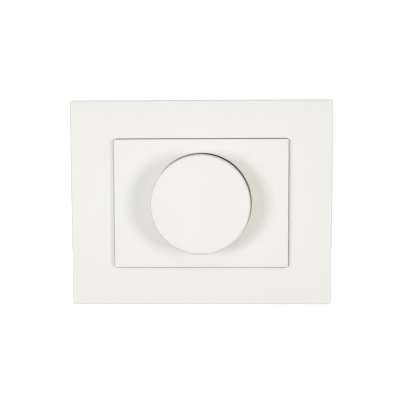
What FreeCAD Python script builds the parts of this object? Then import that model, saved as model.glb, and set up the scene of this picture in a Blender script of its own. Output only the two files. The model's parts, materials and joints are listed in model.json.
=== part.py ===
"""Rotary push dimmer for a 60 mm wall box, as a parametric FreeCAD document.

The row frame: X to the right, Z up, and Y into the wall, so the knob faces -Y. The origin is where the
knob's axis meets the wall plane, midway between the box screws. A `back` or a `front` is a height in
front of the wall plane, so it is minus Y: the knob is at positive heights, the housing at negative ones.
"""

import FreeCAD, Part
import math
import os
import re

import Sketcher
from FreeCAD import Placement, Rotation, Vector

# ---------------------------------------------------------------- driving dimensions, in mm and degrees
DIMENSIONS = {
    # outer frame
    "frame_width": 101.6,
    "frame_height": 80.0,
    "frame_depth": 8.0,
    "frame_skin": 2.0,
    "frame_wall": 2.6,
    "frame_corner": 1.5,
    "frame_draft": 4.0,
    "frame_edge": 0.8,
    "frame_lip": 0.3,
    "collar_wall": 1.6,
    "ledge_width": 1.8,
    "ledge_thickness": 1.5,
    "ledge_clearance": 0.3,
    "rib_thickness": 1.2,
    "rib_place": 24.0,
    "rib_root": 0.2,
    # centre plate, which stands proud of the frame
    "plate_width": 66.5,
    "plate_height": 49.0,
    "plate_proud": 2.2,
    "plate_skin": 2.8,
    "groove_depth": 1.6,
    "groove_play": 0.34,
    "groove_aside": 0.14,
    "groove_up": 0.19,
    "plate_wall": 1.4,
    "plate_corner": 0.8,
    "plate_edge": 0.3,
    "plate_gap": 0.38,
    "plate_rib": 3.0,
    "nut_recess": 8.6,
    "boss_wall": 1.6,
    "seat_front": 6.0,
    "seat_thickness": 1.6,
    # knob
    "knob_diameter": 37.6,
    "knob_front_diameter": 36.6,
    "knob_height": 11.9,
    "knob_edge": 0.8,
    "knob_wall": 2.0,
    "knob_skin": 2.0,
    "knob_gap": 0.1,
    "knob_boss": 5.5,
    "knob_boss_recess": 2.0,
    "knob_rib": 3.0,
    "slit_width": 1.0,
    "slit_depth": 3.6,
    "clip_thickness": 0.8,
    "push_travel": 1.2,
    # shaft, bush and nuts
    "shaft_radius": 3.0,
    "shaft_flat": 1.5,
    "shaft_end_gap": 0.6,
    "tail_radius": 2.2,
    "tail_flat": 1.2,
    "running_gap": 0.06,
    "assembly_gap": 0.2,
    "bush_radius": 5.0,
    "bush_front": 10.0,
    "bush_chamfer": 0.4,
    "flange_radius": 7.0,
    "flange_thickness": 0.8,
    "nut_across_flats": 14.0,
    "nut_thickness": 2.4,
    # support plate
    "support_size": 70.5,
    "support_thickness": 1.2,
    "support_corner": 9.0,
    "box_spacing": 60.0,
    "box_slot_radius": 1.8,
    "box_slot_length": 7.0,
    # housing and lid
    "housing_radius": 27.0,
    "housing_flat": 21.5,
    "housing_depth": 24.0,
    "housing_wall": 1.6,
    "housing_floor": 1.8,
    "lid_thickness": 1.6,
    "block_width": 26.4,
    "block_bottom": 25.2,
    "block_top": 11.9,
    "post_radius": 2.5,
    "post_side": 15.5,
    "post_low": 15.8,
    "vent_radius": 0.75,
    "vent_length": 16.0,
    "vent_first": 8.0,
    "vent_step": 3.4,
    "mark_depth": 0.3,
    "panel_width": 26.0,
    "panel_height": 10.0,
    "panel_drop": 5.5,
    "gauge_length": 9.0,
    "gauge_width": 1.8,
    "gauge_drop": 21.4,
    "ejector_radius": 1.6,
    "ejector_side": 16.8,
    "ejector_top": 15.0,
    "ejector_bottom": 12.0,
    # housing screws
    "small_screw": 1.4,
    "small_head": 2.4,
    "small_head_height": 1.8,
    "small_screw_reach": 7.5,
    "screw_clearance": 0.8,
    # circuit board
    "board_front": 11.5,
    "board_thickness": 1.6,
    "board_gap": 0.4,
    # potentiometer
    "pot_radius": 8.0,
    "can_sheet": 0.5,
    "pot_base": 1.2,
    "track_inner": 4.6,
    "track_outer": 6.4,
    "track_thickness": 0.2,
    "track_break": 3.2,
    "rotor_radius": 6.8,
    "rotor_back": 8.6,
    "rotor_thickness": 1.4,
    "hub_radius": 3.2,
    "wiper_sheet": 0.3,
    "wiper_width": 1.6,
    "wiper_margin": 0.4,
    "touch_gap": 0.05,
    # push switch behind the board
    "switch_size": 14.0,
    "switch_wall": 1.2,
    "switch_depth": 8.6,
    "stem_radius": 2.5,
    "stem_reach": 0.5,
    "slider_size": 10.0,
    "slider_thickness": 1.5,
    "slider_play": 0.15,
    "guide_radius": 1.2,
    "guide_length": 2.6,
    "spring_radius": 1.9,
    "spring_wire": 0.3,
    "spring_turns": 6.0,
    "contact_side": 3.4,
    "contact_offset": 3.8,
    "contact_width": 1.6,
    "contact_sheet": 0.3,
    "rivet_radius": 0.7,
    "rivet_height": 0.45,
    "leg_thickness": 0.8,
    # terminals
    "terminal_pitch": 8.5,
    "wire_height": 16.3,
    "wire_radius": 1.6,
    "cage_width": 6.6,
    "cage_top": 13.4,
    "cage_bottom": 22.2,
    "cage_length": 7.0,
    "cage_wall": 1.0,
    "cage_gap": 0.2,
    "bar_width": 4.0,
    "bar_top": 18.2,
    "bar_thickness": 1.2,
    "bar_front": 10.5,
    "terminal_screw": 1.5,
    "terminal_head": 2.6,
    "head_shoulder": 23.3,
    "head_height": 1.7,
    # claws
    "claw_side": 7.6,
    "claw_pivot": 24.9,
    "claw_pivot_depth": 4.4,
    "claw_pin": 0.9,
    "claw_barrel": 1.9,
    "claw_width": 7.6,
    "claw_sheet": 1.2,
    "claw_reach": 12.0,
    "claw_tooth": 0.7,
    "claw_tab_end": 22.1,
    "claw_screw_side": 23.2,
    "claw_screw": 1.5,
    "claw_head": 2.6,
    "claw_head_height": 1.8,
    "ear_gap": 0.2,
    "ear_thickness": 1.2,
    "ear_half": 1.4,
    # triac on the support plate
    "triac_side": 13.8,
    "triac_width": 9.6,
    "triac_bottom": 0.6,
    "triac_body_height": 9.2,
    "triac_top": 16.0,
    "triac_tab": 1.3,
    "triac_depth": 4.5,
    "triac_leg_pitch": 2.54,
    "triac_leg": 0.6,
    "triac_leg_root": 0.2,
    "triac_leg_drop": 2.6,
    "triac_hole_place": 13.0,
    "triac_screw": 1.5,
    "triac_head": 2.7,
    "pad_thickness": 0.3,
    "window_gap": 0.4,
    "triac_nut": 2.75,
    "triac_nut_thickness": 2.0,
    # choke
    "choke_side": 9.5,
    "choke_up": 15.0,
    "choke_outer": 6.0,
    "choke_inner": 3.2,
    "choke_height": 5.6,
    "winding_build": 0.9,
    # other parts on the board
    "film_side": 13.3,
    "film_width": 10.0,
    "film_length": 13.0,
    "film_depth": 8.0,
    "film_edge": 0.5,
    "fuse_side": 12.8,
    "fuse_bottom": 9.0,
    "fuse_length": 20.0,
    "fuse_radius": 2.5,
    "fuse_wall": 0.5,
    "cap_length": 5.0,
    "cap_sheet": 0.2,
    "fuse_lift": 3.8,
    "clip_width": 3.0,
    "clip_sheet": 0.6,
    "clip_grip": 0.5,
    "timing_side": 7.5,
    "timing_drop": 16.4,
    "timing_width": 7.2,
    "timing_thickness": 2.4,
    "timing_height": 6.4,
    "timing_edge": 0.4,
    "axial_radius": 1.15,
    "axial_length": 6.3,
    "axial_side": 7.5,
    "axial_drop": 13.3,
    "axial_step": 3.1,
    "lead_radius": 0.3,
    "lead_drop": 0.2,
    "lead_spread": 4.4,
    "diac_radius": 0.9,
    "diac_length": 3.8,
    "diac_drop": 10.4,
    "diac_spread": 3.2,
}

doc = FreeCAD.newDocument("rotary_dimmer")
sizes = doc.addObject("Spreadsheet::Sheet", "sizes")
for row, (alias, number) in enumerate(DIMENSIONS.items(), start=1):
    sizes.set(f"A{row}", alias)
    sizes.set(f"B{row}", str(number))
    sizes.setAlias(f"B{row}", alias)
doc.recompute()

WORD = re.compile(r"[a-z_]+[a-z]")
SUB_PARTS = []


# ---------------------------------------------------------------- formulas on the sheet
def formula(text):
    """A formula written with the sheet's aliases, as FreeCAD reads it."""
    return WORD.sub(lambda m: f"sizes.{m[0]}" if m[0] in DIMENSIONS else m[0], str(text))


def value(text):
    """What a formula comes to now, in mm."""
    found = sizes.evalExpression(formula(text))
    return float(getattr(found, "Value", found))


def bind(thing, prop, text):
    thing.setExpression(prop, formula(text))


def sub_part(thing, label):
    thing.Label = label
    SUB_PARTS.append(thing)
    return thing


# ---------------------------------------------------------------- PartDesign bodies
def new_body(label):
    body = doc.addObject("PartDesign::Body", label)
    return sub_part(body, label)


def new_sketch(body, height="0", role="XZ_Plane"):
    """A sketch on one of the body's own origin planes, lifted along the plane's normal."""
    sketch = body.newObject("Sketcher::SketchObject", f"{body.Name}_sketch")
    plane = [f for f in body.Origin.OriginFeatures if f.Role == role][0]
    sketch.AttachmentSupport = [(plane, "")]
    sketch.MapMode = "FlatFace"
    bind(sketch, "AttachmentOffset.Base.z", height)
    return sketch


def size_constraint(sketch, kind, items, text):
    """A length constraint tied to a formula. A length that is negative is measured the other way round."""
    number = value(text)
    if kind in ("DistanceX", "DistanceY") and number < 0:
        items, text, number = items[2:] + items[:2], f"-({text})", -number
    index = sketch.addConstraint(Sketcher.Constraint(kind, *items, number))
    name = f"size_{index}"
    sketch.renameConstraint(index, name)
    bind(sketch, f"Constraints.{name}", text)


def place_point(sketch, geometry, position, x, y):
    """Ties a point of the sketch to formulas for its place from the sketch's origin."""
    for kind, axis, text in (("DistanceX", -2, x), ("DistanceY", -1, y)):
        if str(text) == "0":
            sketch.addConstraint(Sketcher.Constraint("PointOnObject", geometry, position, axis))
        else:
            size_constraint(sketch, kind, (-1, 1, geometry, position), text)


def add_circle(sketch, radius, x="0", y="0"):
    centre = Vector(value(x), value(y), 0)
    circle = sketch.addGeometry(Part.Circle(centre, Vector(0, 0, 1), value(radius)), False)
    place_point(sketch, circle, 3, x, y)
    size_constraint(sketch, "Radius", (circle,), radius)


def add_polygon(sketch, points):
    """A closed outline with straight sides. Each corner is a pair of formulas."""
    corners = [Vector(value(x), value(y), 0) for x, y in points]
    lines = [
        sketch.addGeometry(Part.LineSegment(a, b), False)
        for a, b in zip(corners, corners[1:] + corners[:1])
    ]
    for one, after in zip(lines, lines[1:] + lines[:1]):
        sketch.addConstraint(Sketcher.Constraint("Coincident", one, 2, after, 1))
    for line, (x, y) in zip(lines, points):
        place_point(sketch, line, 1, x, y)


def add_rectangle(sketch, x0, x1, y0, y1):
    add_polygon(sketch, [(x0, y0), (x1, y0), (x1, y1), (x0, y1)])


def add_rounded(sketch, width, height, radius):
    """A rectangle centred on the sketch's origin, with four equal corner arcs."""
    w, h, r = value(width) / 2, value(height) / 2, value(radius)
    corners = [(w - r, h - r, 0), (r - w, h - r, 90), (r - w, r - h, 180), (w - r, r - h, 270)]
    arcs = []
    for x, y, start in corners:
        circle = Part.Circle(Vector(x, y, 0), Vector(0, 0, 1), r)
        span = math.radians(start), math.radians(start + 90)
        arcs.append(sketch.addGeometry(Part.ArcOfCircle(circle, *span), False))
    lines = []
    for one, after in zip(arcs, arcs[1:] + arcs[:1]):
        ends = sketch.getPoint(one, 2), sketch.getPoint(after, 1)
        line = sketch.addGeometry(Part.LineSegment(*ends), False)
        sketch.addConstraint(Sketcher.Constraint("Tangent", one, 2, line, 1))
        sketch.addConstraint(Sketcher.Constraint("Tangent", line, 2, after, 1))
        lines.append(line)
    for index, line in enumerate(lines):
        kind = "Vertical" if index % 2 else "Horizontal"
        sketch.addConstraint(Sketcher.Constraint(kind, line))
    for arc in arcs[1:]:
        sketch.addConstraint(Sketcher.Constraint("Equal", arcs[0], arc))
    size_constraint(sketch, "Radius", (arcs[0],), radius)
    right, top = f"({width})/2-({radius})", f"({height})/2-({radius})"
    place_point(sketch, arcs[0], 3, right, top)
    place_point(sketch, arcs[2], 3, f"-({right})", f"-({top})")


def add_flatted(sketch, radius, flat):
    """A circle on the sketch's origin with its left and right sides cut straight at x = flat."""
    r, x = value(radius), value(flat)
    turn, height = math.acos(x / r), math.sqrt(r * r - x * x)
    circle = Part.Circle(Vector(0, 0, 0), Vector(0, 0, 1), r)
    top = sketch.addGeometry(Part.ArcOfCircle(circle, turn, math.pi - turn), False)
    bottom = sketch.addGeometry(Part.ArcOfCircle(circle, math.pi + turn, 2 * math.pi - turn), False)
    left_line = Part.LineSegment(Vector(-x, height, 0), Vector(-x, -height, 0))
    right_line = Part.LineSegment(Vector(x, -height, 0), Vector(x, height, 0))
    left = sketch.addGeometry(left_line, False)
    right = sketch.addGeometry(right_line, False)
    for one, after in ((top, left), (left, bottom), (bottom, right), (right, top)):
        sketch.addConstraint(Sketcher.Constraint("Coincident", one, 2, after, 1))
    for arc in (top, bottom):
        sketch.addConstraint(Sketcher.Constraint("Coincident", arc, 3, -1, 1))
        size_constraint(sketch, "Radius", (arc,), radius)
    for line, side in ((left, f"-({flat})"), (right, flat)):
        sketch.addConstraint(Sketcher.Constraint("Vertical", line))
        size_constraint(sketch, "DistanceX", (-1, 1, line, 1), side)


def add_d_shape(sketch, radius, flat):
    """A circle on the sketch's origin cut straight across at y = flat, as a D shaft is."""
    r, y = value(radius), value(flat)
    turn, half = math.asin(y / r), math.sqrt(r * r - y * y)
    circle = Part.Circle(Vector(0, 0, 0), Vector(0, 0, 1), r)
    arc = sketch.addGeometry(Part.ArcOfCircle(circle, math.pi - turn, 2 * math.pi + turn), False)
    line = sketch.addGeometry(Part.LineSegment(Vector(half, y, 0), Vector(-half, y, 0)), False)
    sketch.addConstraint(Sketcher.Constraint("Coincident", arc, 2, line, 1))
    sketch.addConstraint(Sketcher.Constraint("Coincident", line, 2, arc, 1))
    sketch.addConstraint(Sketcher.Constraint("Coincident", arc, 3, -1, 1))
    sketch.addConstraint(Sketcher.Constraint("Horizontal", line))
    size_constraint(sketch, "Radius", (arc,), radius)
    size_constraint(sketch, "DistanceY", (-1, 1, line, 1), flat)


def add_slot(sketch, x, y, length, radius, upright=False):
    """A straight slot with round ends, centred at x, y."""
    along = Vector(0, 1, 0) if upright else Vector(1, 0, 0)
    reach, r = value(length) / 2 - value(radius), value(radius)
    centre = Vector(value(x), value(y), 0)
    start = 0 if upright else -90
    arcs = []
    for side in (1, -1):
        circle = Part.Circle(centre + along * (reach * side), Vector(0, 0, 1), r)
        first = math.radians(start + (0 if side > 0 else 180))
        arcs.append(sketch.addGeometry(Part.ArcOfCircle(circle, first, first + math.pi), False))
    for one, after in ((arcs[0], arcs[1]), (arcs[1], arcs[0])):
        ends = sketch.getPoint(one, 2), sketch.getPoint(after, 1)
        line = sketch.addGeometry(Part.LineSegment(*ends), False)
        sketch.addConstraint(Sketcher.Constraint("Tangent", one, 2, line, 1))
        sketch.addConstraint(Sketcher.Constraint("Tangent", line, 2, after, 1))
    size_constraint(sketch, "Radius", (arcs[0],), radius)
    for arc, sign in zip(arcs, "+-"):
        shift = f"{sign}(({length})/2-({radius}))"
        at = (x, f"{y}{shift}") if upright else (f"{x}{shift}", y)
        place_point(sketch, arc, 3, *at)


def pad(body, sketch, length, taper=None):
    """Adds material from the sketch towards the front."""
    feature = body.newObject("PartDesign::Pad", f"{body.Name}_pad")
    feature.Profile = sketch
    bind(feature, "Length", length)
    if taper:
        bind(feature, "TaperAngle", taper)
    return finished(body, feature)


def pocket(body, sketch, depth, to_front=False):
    """Takes material away from the sketch towards the back, or towards the front."""
    before = body.Shape.Volume
    feature = body.newObject("PartDesign::Pocket", f"{body.Name}_pocket")
    feature.Profile = sketch
    feature.Reversed = to_front
    bind(feature, "Length", depth)
    finished(body, feature)
    if body.Shape.Volume >= before:
        raise RuntimeError(f"a pocket in {body.Label} takes nothing away")
    return feature


def revolve(body, points, cut=False):
    """Turns an outline about the knob's axis. Each point is a radius and a height, as formulas."""
    sketch = new_sketch(body, role="XY_Plane")
    add_polygon(sketch, [(r, "0" if h == "0" else f"-({h})") for r, h in points])
    kind = "Groove" if cut else "Revolution"
    feature = body.newObject(f"PartDesign::{kind}", f"{body.Name}_turned")
    feature.Profile = sketch
    feature.ReferenceAxis = (sketch, ["V_Axis"])
    feature.Angle = 360
    return finished(body, feature)


def finished(body, feature):
    """Makes the feature the body's tip, recomputes and returns it."""
    body.Tip = feature
    doc.recompute()
    if "Invalid" in feature.State or feature.Shape.isNull():
        raise RuntimeError(f"{feature.Name} failed")
    return feature


def edges_where(shape, test):
    return [f"Edge{n}" for n, edge in enumerate(shape.Edges, start=1) if test(edge)]


def fillet_where(body, radius, test, kind="Fillet"):
    """Rounds (or chamfers) every edge of the body that passes the test."""
    base = body.Tip
    names = edges_where(base.Shape, test)
    if not names:
        raise RuntimeError(f"no edge of {body.Label} passes the test for its {kind.lower()}")
    feature = body.newObject(f"PartDesign::{kind}", f"{body.Name}_{kind.lower()}")
    feature.Base = (base, names)
    bind(feature, "Radius" if kind == "Fillet" else "Size", radius)
    return finished(body, feature)


def lies_at(height):
    """A test for edges that lie in the plane at this height."""
    y = -value(height)
    return lambda edge: abs(edge.BoundBox.YMin - y) < 1e-4 and abs(edge.BoundBox.YMax - y) < 1e-4


def both(*tests):
    return lambda edge: all(test(edge) for test in tests)


def reaches(distance):
    """A test for edges whose every point is at least this far from the knob's axis."""
    limit = value(distance)

    def test(edge):
        points = edge.discretize(9)
        return min(math.hypot(p.x, p.z) for p in points) >= limit

    return test


def within(distance):
    """A test for edges whose every point is at most this far from the knob's axis."""
    limit = value(distance)

    def test(edge):
        points = edge.discretize(9)
        return max(math.hypot(p.x, p.z) for p in points) <= limit

    return test


# ---------------------------------------------------------------- Part primitives
def cylinder(radius, back, front, x="0", z="0"):
    """A round bar along the knob's axis direction, from one height to another."""
    bar = doc.addObject("Part::Cylinder", "bar")
    bind(bar, "Radius", radius)
    bind(bar, "Height", f"({front})-({back})")
    bar.Placement = Placement(Vector(), Rotation(Vector(1, 0, 0), 90))
    bind(bar, "Placement.Base.x", x)
    bind(bar, "Placement.Base.y", f"-({back})")
    bind(bar, "Placement.Base.z", z)
    return bar


def lying_bar(radius, start, length, axis, x="0", height="0", z="0"):
    """A round bar along X or Z that starts at `start` on that axis."""
    bar = doc.addObject("Part::Cylinder", "lying_bar")
    turn = Rotation(Vector(0, 1, 0), 90) if axis == "X" else Rotation()
    bar.Placement = Placement(Vector(), turn)
    bind(bar, "Radius", radius)
    bind(bar, "Height", length)
    bind(bar, "Placement.Base.x", start if axis == "X" else x)
    bind(bar, "Placement.Base.y", f"-({height})")
    bind(bar, "Placement.Base.z", z if axis == "X" else start)
    return bar


def block(x0, x1, back, front, z0, z1):
    """A box between two values on X, two heights and two values on Z."""
    box = doc.addObject("Part::Box", "block")
    bind(box, "Length", f"({x1})-({x0})")
    bind(box, "Width", f"({front})-({back})")
    bind(box, "Height", f"({z1})-({z0})")
    bind(box, "Placement.Base.x", x0)
    bind(box, "Placement.Base.y", f"-({front})")
    bind(box, "Placement.Base.z", z0)
    return box


def fuse(*shapes):
    joined = doc.addObject("Part::MultiFuse", "joined")
    joined.Shapes = list(shapes)
    joined.Refine = True
    return joined


def cut(base, *tools):
    trimmed = doc.addObject("Part::Cut", "trimmed")
    trimmed.Base = base
    trimmed.Tool = tools[0] if len(tools) == 1 else fuse(*tools)
    trimmed.Refine = True
    return trimmed


def group(*shapes):
    """Separate solids that share one node."""
    compound = doc.addObject("Part::Compound", "group")
    compound.Links = list(shapes)
    return compound


def rounded(base, radius, test):
    """A Part fillet on the edges that pass the test."""
    doc.recompute()
    feature = doc.addObject("Part::Fillet", "rounded")
    feature.Base = base
    r = value(radius)
    picked = [n for n, edge in enumerate(base.Shape.Edges, start=1) if test(edge)]
    feature.Edges = [(n, r, r) for n in picked]
    return feature


# ---------------------------------------------------------------- heights shared by several sub-parts
PLATE_FRONT = "(frame_depth+plate_proud)"
LEDGE_BACK = "(support_thickness+ledge_clearance)"
LEDGE_FRONT = f"({LEDGE_BACK}+ledge_thickness)"
SEAT_BACK = "(seat_front-seat_thickness)"
KNOB_BACK = f"({PLATE_FRONT}+knob_gap)"
KNOB_FRONT = f"({KNOB_BACK}+knob_height)"
BOSS_BACK = f"({KNOB_BACK}+knob_boss_recess)"
SHAFT_FRONT = f"({KNOB_FRONT}-knob_skin-shaft_end_gap)"
LID_BACK = "(-lid_thickness)"
FLANGE_BACK = "(-lid_thickness-flange_thickness)"
CAN_BACK = "(-board_front+pot_base)"
BOARD_FRONT = "(-board_front)"
BOARD_BACK = "(-board_front-board_thickness)"
FLOOR_FRONT = "(-housing_depth+housing_floor)"
SWITCH_BACK = f"({BOARD_BACK}-switch_depth)"
SLIDER_FRONT = f"({BOARD_BACK}-slider_play)"
SLIDER_BACK = f"({SLIDER_FRONT}-slider_thickness)"
STEM_FRONT = f"({BOARD_FRONT}+stem_reach)"
RIVET_BACK = f"({SLIDER_BACK}-contact_sheet-rivet_height)"
FIXED_FRONT = f"({RIVET_BACK}-push_travel-touch_gap)"
POST_TOP = "(plate_height/2+plate_gap-ledge_width-small_head-screw_clearance)"
SCREW_PLACES = [("post_side", "-(post_low)"), ("-(post_side)", "-(post_low)"), ("0", POST_TOP)]
TERMINALS = ["-(terminal_pitch)", "0", "terminal_pitch"]
BOARD_HOLE = "stem_radius+2*assembly_gap"

# ---------------------------------------------------------------- outer frame
OPENING_WIDTH, OPENING_HEIGHT = "(plate_width+2*plate_gap)", "(plate_height+2*plate_gap)"
frame = new_body("outer_frame")
outline = new_sketch(frame)
add_rounded(outline, "frame_width", "frame_height", "frame_corner")
pad(frame, outline, "frame_depth", "-(frame_draft)")
fillet_where(frame, "frame_edge", both(lies_at("frame_depth"), reaches("frame_height/2-2")))
hollow = new_sketch(frame)
add_rounded(hollow, "frame_width-2*frame_wall", "frame_height-2*frame_wall", "frame_corner")
pocket(frame, hollow, "frame_depth-frame_skin", to_front=True)
collar = new_sketch(frame, LEDGE_BACK)
collar_size = f"{OPENING_WIDTH}+2*collar_wall", f"{OPENING_HEIGHT}+2*collar_wall"
add_rounded(collar, *collar_size, "collar_wall+plate_corner")
pad(frame, collar, f"frame_depth-frame_skin-{LEDGE_BACK}")
opening = new_sketch(frame, "frame_depth")
add_rounded(opening, OPENING_WIDTH, OPENING_HEIGHT, "plate_corner+plate_gap")
pocket(frame, opening, f"frame_depth-{LEDGE_FRONT}")
inner_opening = new_sketch(frame, LEDGE_FRONT)
inner_size = f"{OPENING_WIDTH}-2*ledge_width", f"{OPENING_HEIGHT}-2*ledge_width"
add_rounded(inner_opening, *inner_size, "plate_corner")
pocket(frame, inner_opening, LEDGE_FRONT)
ribs = new_sketch(frame, LEDGE_FRONT)
for side in ("", "-"):
    near, far = f"{OPENING_WIDTH}/2+collar_wall-rib_root", "frame_width/2-frame_wall+rib_root"
    across = sorted((f"{side}({near})", f"{side}({far})"), key=value)
    low, high = f"{OPENING_HEIGHT}/2+collar_wall-rib_root", "frame_height/2-frame_wall+rib_root"
    upright = sorted((f"{side}({low})", f"{side}({high})"), key=value)
    for place in ("-(rib_place/2)", "(rib_place/2)"):
        add_rectangle(ribs, *across, f"{place}-rib_thickness/2", f"{place}+rib_thickness/2")
    for place in ("-(rib_place)", "0", "(rib_place)"):
        add_rectangle(ribs, f"{place}-rib_thickness/2", f"{place}+rib_thickness/2", *upright)
pad(frame, ribs, f"frame_depth-frame_skin/2-{LEDGE_FRONT}")
fillet_where(frame, "frame_lip", both(lies_at("frame_depth"), within("frame_width/2-6")))

# ---------------------------------------------------------------- centre plate
plate = new_body("centre_plate")
outline = new_sketch(plate, LEDGE_FRONT)
add_rounded(outline, "plate_width", "plate_height", "plate_corner")
pad(plate, outline, f"{PLATE_FRONT}-{LEDGE_FRONT}")
fillet_where(plate, "plate_edge", lies_at(PLATE_FRONT))
hollow = new_sketch(plate, LEDGE_FRONT)
add_rounded(hollow, "plate_width-2*plate_wall", "plate_height-2*plate_wall", "plate_corner")
pocket(plate, hollow, f"{PLATE_FRONT}-plate_skin-{LEDGE_FRONT}", to_front=True)
boss = new_sketch(plate, SEAT_BACK)
add_circle(boss, "nut_recess+boss_wall")
pad(plate, boss, f"{PLATE_FRONT}-plate_skin-{SEAT_BACK}")
ribs = new_sketch(plate, f"{PLATE_FRONT}-plate_skin-plate_rib")
for side in ("", "-"):
    across = sorted((f"{side}(nut_recess+boss_wall/2)", f"{side}(plate_width/2-plate_wall/2)"), key=value)
    upright = sorted((f"{side}(nut_recess+boss_wall/2)", f"{side}(plate_height/2-plate_wall/2)"), key=value)
    add_rectangle(ribs, *across, "-(rib_thickness/2)", "rib_thickness/2")
    add_rectangle(ribs, "-(rib_thickness/2)", "rib_thickness/2", *upright)
pad(plate, ribs, "plate_rib+plate_skin/2")
# The knob's rim runs just above this groove and goes down into it when the knob is pushed. The plate
# is pushed into one corner of its play, so the groove lies a little off the shaft.
groove = new_sketch(plate, PLATE_FRONT)
add_circle(groove, "knob_diameter/2+groove_play", "groove_aside", "groove_up")
add_circle(groove, "knob_diameter/2-knob_wall-groove_play", "groove_aside", "groove_up")
pocket(plate, groove, "groove_depth")
recess = new_sketch(plate, PLATE_FRONT)
add_circle(recess, "nut_recess")
pocket(plate, recess, f"{PLATE_FRONT}-seat_front")
bush_hole = new_sketch(plate, "seat_front")
add_circle(bush_hole, "bush_radius+assembly_gap")
pocket(plate, bush_hole, "seat_thickness")

# ---------------------------------------------------------------- knob and its clip
knob = new_body("knob")
revolve(knob, [
    ("0", KNOB_FRONT),
    ("knob_front_diameter/2", KNOB_FRONT),
    ("knob_diameter/2", KNOB_BACK),
    ("knob_diameter/2-knob_wall", KNOB_BACK),
    ("knob_front_diameter/2-knob_wall", f"{KNOB_FRONT}-knob_skin"),
    ("knob_boss", f"{KNOB_FRONT}-knob_skin"),
    ("knob_boss", BOSS_BACK),
    ("0", BOSS_BACK),
])
fillet_where(knob, "knob_edge", both(lies_at(KNOB_FRONT), reaches("knob_front_diameter/2-knob_edge")))
ribs = new_sketch(knob, f"{KNOB_FRONT}-knob_skin-knob_rib")
for side in ("", "-"):
    near, far = "knob_boss-rib_root", "knob_front_diameter/2-knob_wall+rib_root"
    reach = sorted((f"{side}({near})", f"{side}({far})"), key=value)
    add_rectangle(ribs, *reach, "-(rib_thickness/2)", "rib_thickness/2")
    add_rectangle(ribs, "-(rib_thickness/2)", "rib_thickness/2", *reach)
pad(knob, ribs, "knob_rib+knob_skin/2")
shaft_bore = new_sketch(knob, BOSS_BACK)
add_d_shape(shaft_bore, "shaft_radius", "shaft_flat")
pocket(knob, shaft_bore, f"{SHAFT_FRONT}+assembly_gap-{BOSS_BACK}", to_front=True)
slit = new_sketch(knob, BOSS_BACK)
add_rectangle(slit, "-(knob_boss+assembly_gap)", "knob_boss+assembly_gap", "-(slit_width/2)", "slit_width/2")
pocket(knob, slit, "slit_depth", to_front=True)

CLIP_BACK = f"({BOSS_BACK}+assembly_gap)"
clip_ends = CLIP_BACK, f"{CLIP_BACK}+2*clip_thickness"
clip_ring = cylinder("knob_boss+clip_thickness", *clip_ends)
clip_bore = cylinder("knob_boss", *clip_ends)
clip_mouth = block("0", "knob_boss+2*clip_thickness", *clip_ends, "slit_width", "3*slit_width")
sub_part(cut(clip_ring, clip_bore, clip_mouth), "knob_clip")

# ---------------------------------------------------------------- shaft, bush and the two nuts
shaft = new_body("shaft")
TAIL_FRONT = "(-lid_thickness)"
tail = new_sketch(shaft, STEM_FRONT)
add_d_shape(tail, "tail_radius", "tail_flat")
pad(shaft, tail, f"{TAIL_FRONT}-{STEM_FRONT}")
journal = new_sketch(shaft, TAIL_FRONT)
add_circle(journal, "shaft_radius")
pad(shaft, journal, f"{BOSS_BACK}-{TAIL_FRONT}")
flatted_end = new_sketch(shaft, BOSS_BACK)
add_d_shape(flatted_end, "shaft_radius", "shaft_flat")
pad(shaft, flatted_end, f"{SHAFT_FRONT}-{BOSS_BACK}")

bush = new_body("bush")
revolve(bush, [
    ("shaft_radius+running_gap", FLANGE_BACK),
    ("flange_radius", FLANGE_BACK),
    ("flange_radius", LID_BACK),
    ("bush_radius", LID_BACK),
    ("bush_radius", "bush_front"),
    ("shaft_radius+running_gap", "bush_front"),
])
bush_rim = both(lies_at("bush_front"), reaches("bush_radius-running_gap"))
fillet_where(bush, "bush_chamfer", bush_rim, kind="Chamfer")


def hexagon_nut(label, bore, corner, back, front, x="0", z="0"):
    """A six-sided nut. Its corners lie at `corner` from its own axis."""
    prism = doc.addObject("Part::Prism", "prism")
    prism.Polygon = 6
    bind(prism, "Circumradius", corner)
    bind(prism, "Height", f"({front})-({back})")
    prism.Placement = Placement(Vector(), Rotation(Vector(1, 0, 0), 90))
    bind(prism, "Placement.Base.x", x)
    bind(prism, "Placement.Base.y", f"-({back})")
    bind(prism, "Placement.Base.z", z)
    return sub_part(cut(prism, cylinder(bore, back, front, x, z)), label)


NUT_CORNER = "nut_across_flats/sqrt(3)"
hexagon_nut("fixing_nut", "bush_radius", NUT_CORNER, "support_thickness", SEAT_BACK)
hexagon_nut("cover_nut", "bush_radius", NUT_CORNER, "seat_front", "seat_front+nut_thickness")

# ---------------------------------------------------------------- support plate with the claw ears
support = doc.addObject("PartDesign::Body", "support_blank")
outline = new_sketch(support)
add_rounded(outline, "support_size", "support_size", "support_corner")
pad(support, outline, "support_thickness")
holes = new_sketch(support, "support_thickness")
add_circle(holes, "bush_radius+assembly_gap")
for x, z in SCREW_PLACES:
    add_circle(holes, "small_screw+assembly_gap", x, z)
add_circle(holes, "triac_screw", "triac_side", "triac_hole_place")
for side in ("", "-"):
    add_slot(holes, f"{side}(box_spacing/2)", "0", "box_slot_length", "box_slot_radius")
    add_slot(holes, "0", f"{side}(box_spacing/2)", "box_slot_length", "box_slot_radius", upright=True)
    opposite = "" if side else "-"
    add_circle(holes, "claw_screw", f"{side}(claw_screw_side)", f"{opposite}(claw_side)")
pocket(support, holes, "support_thickness")

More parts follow.
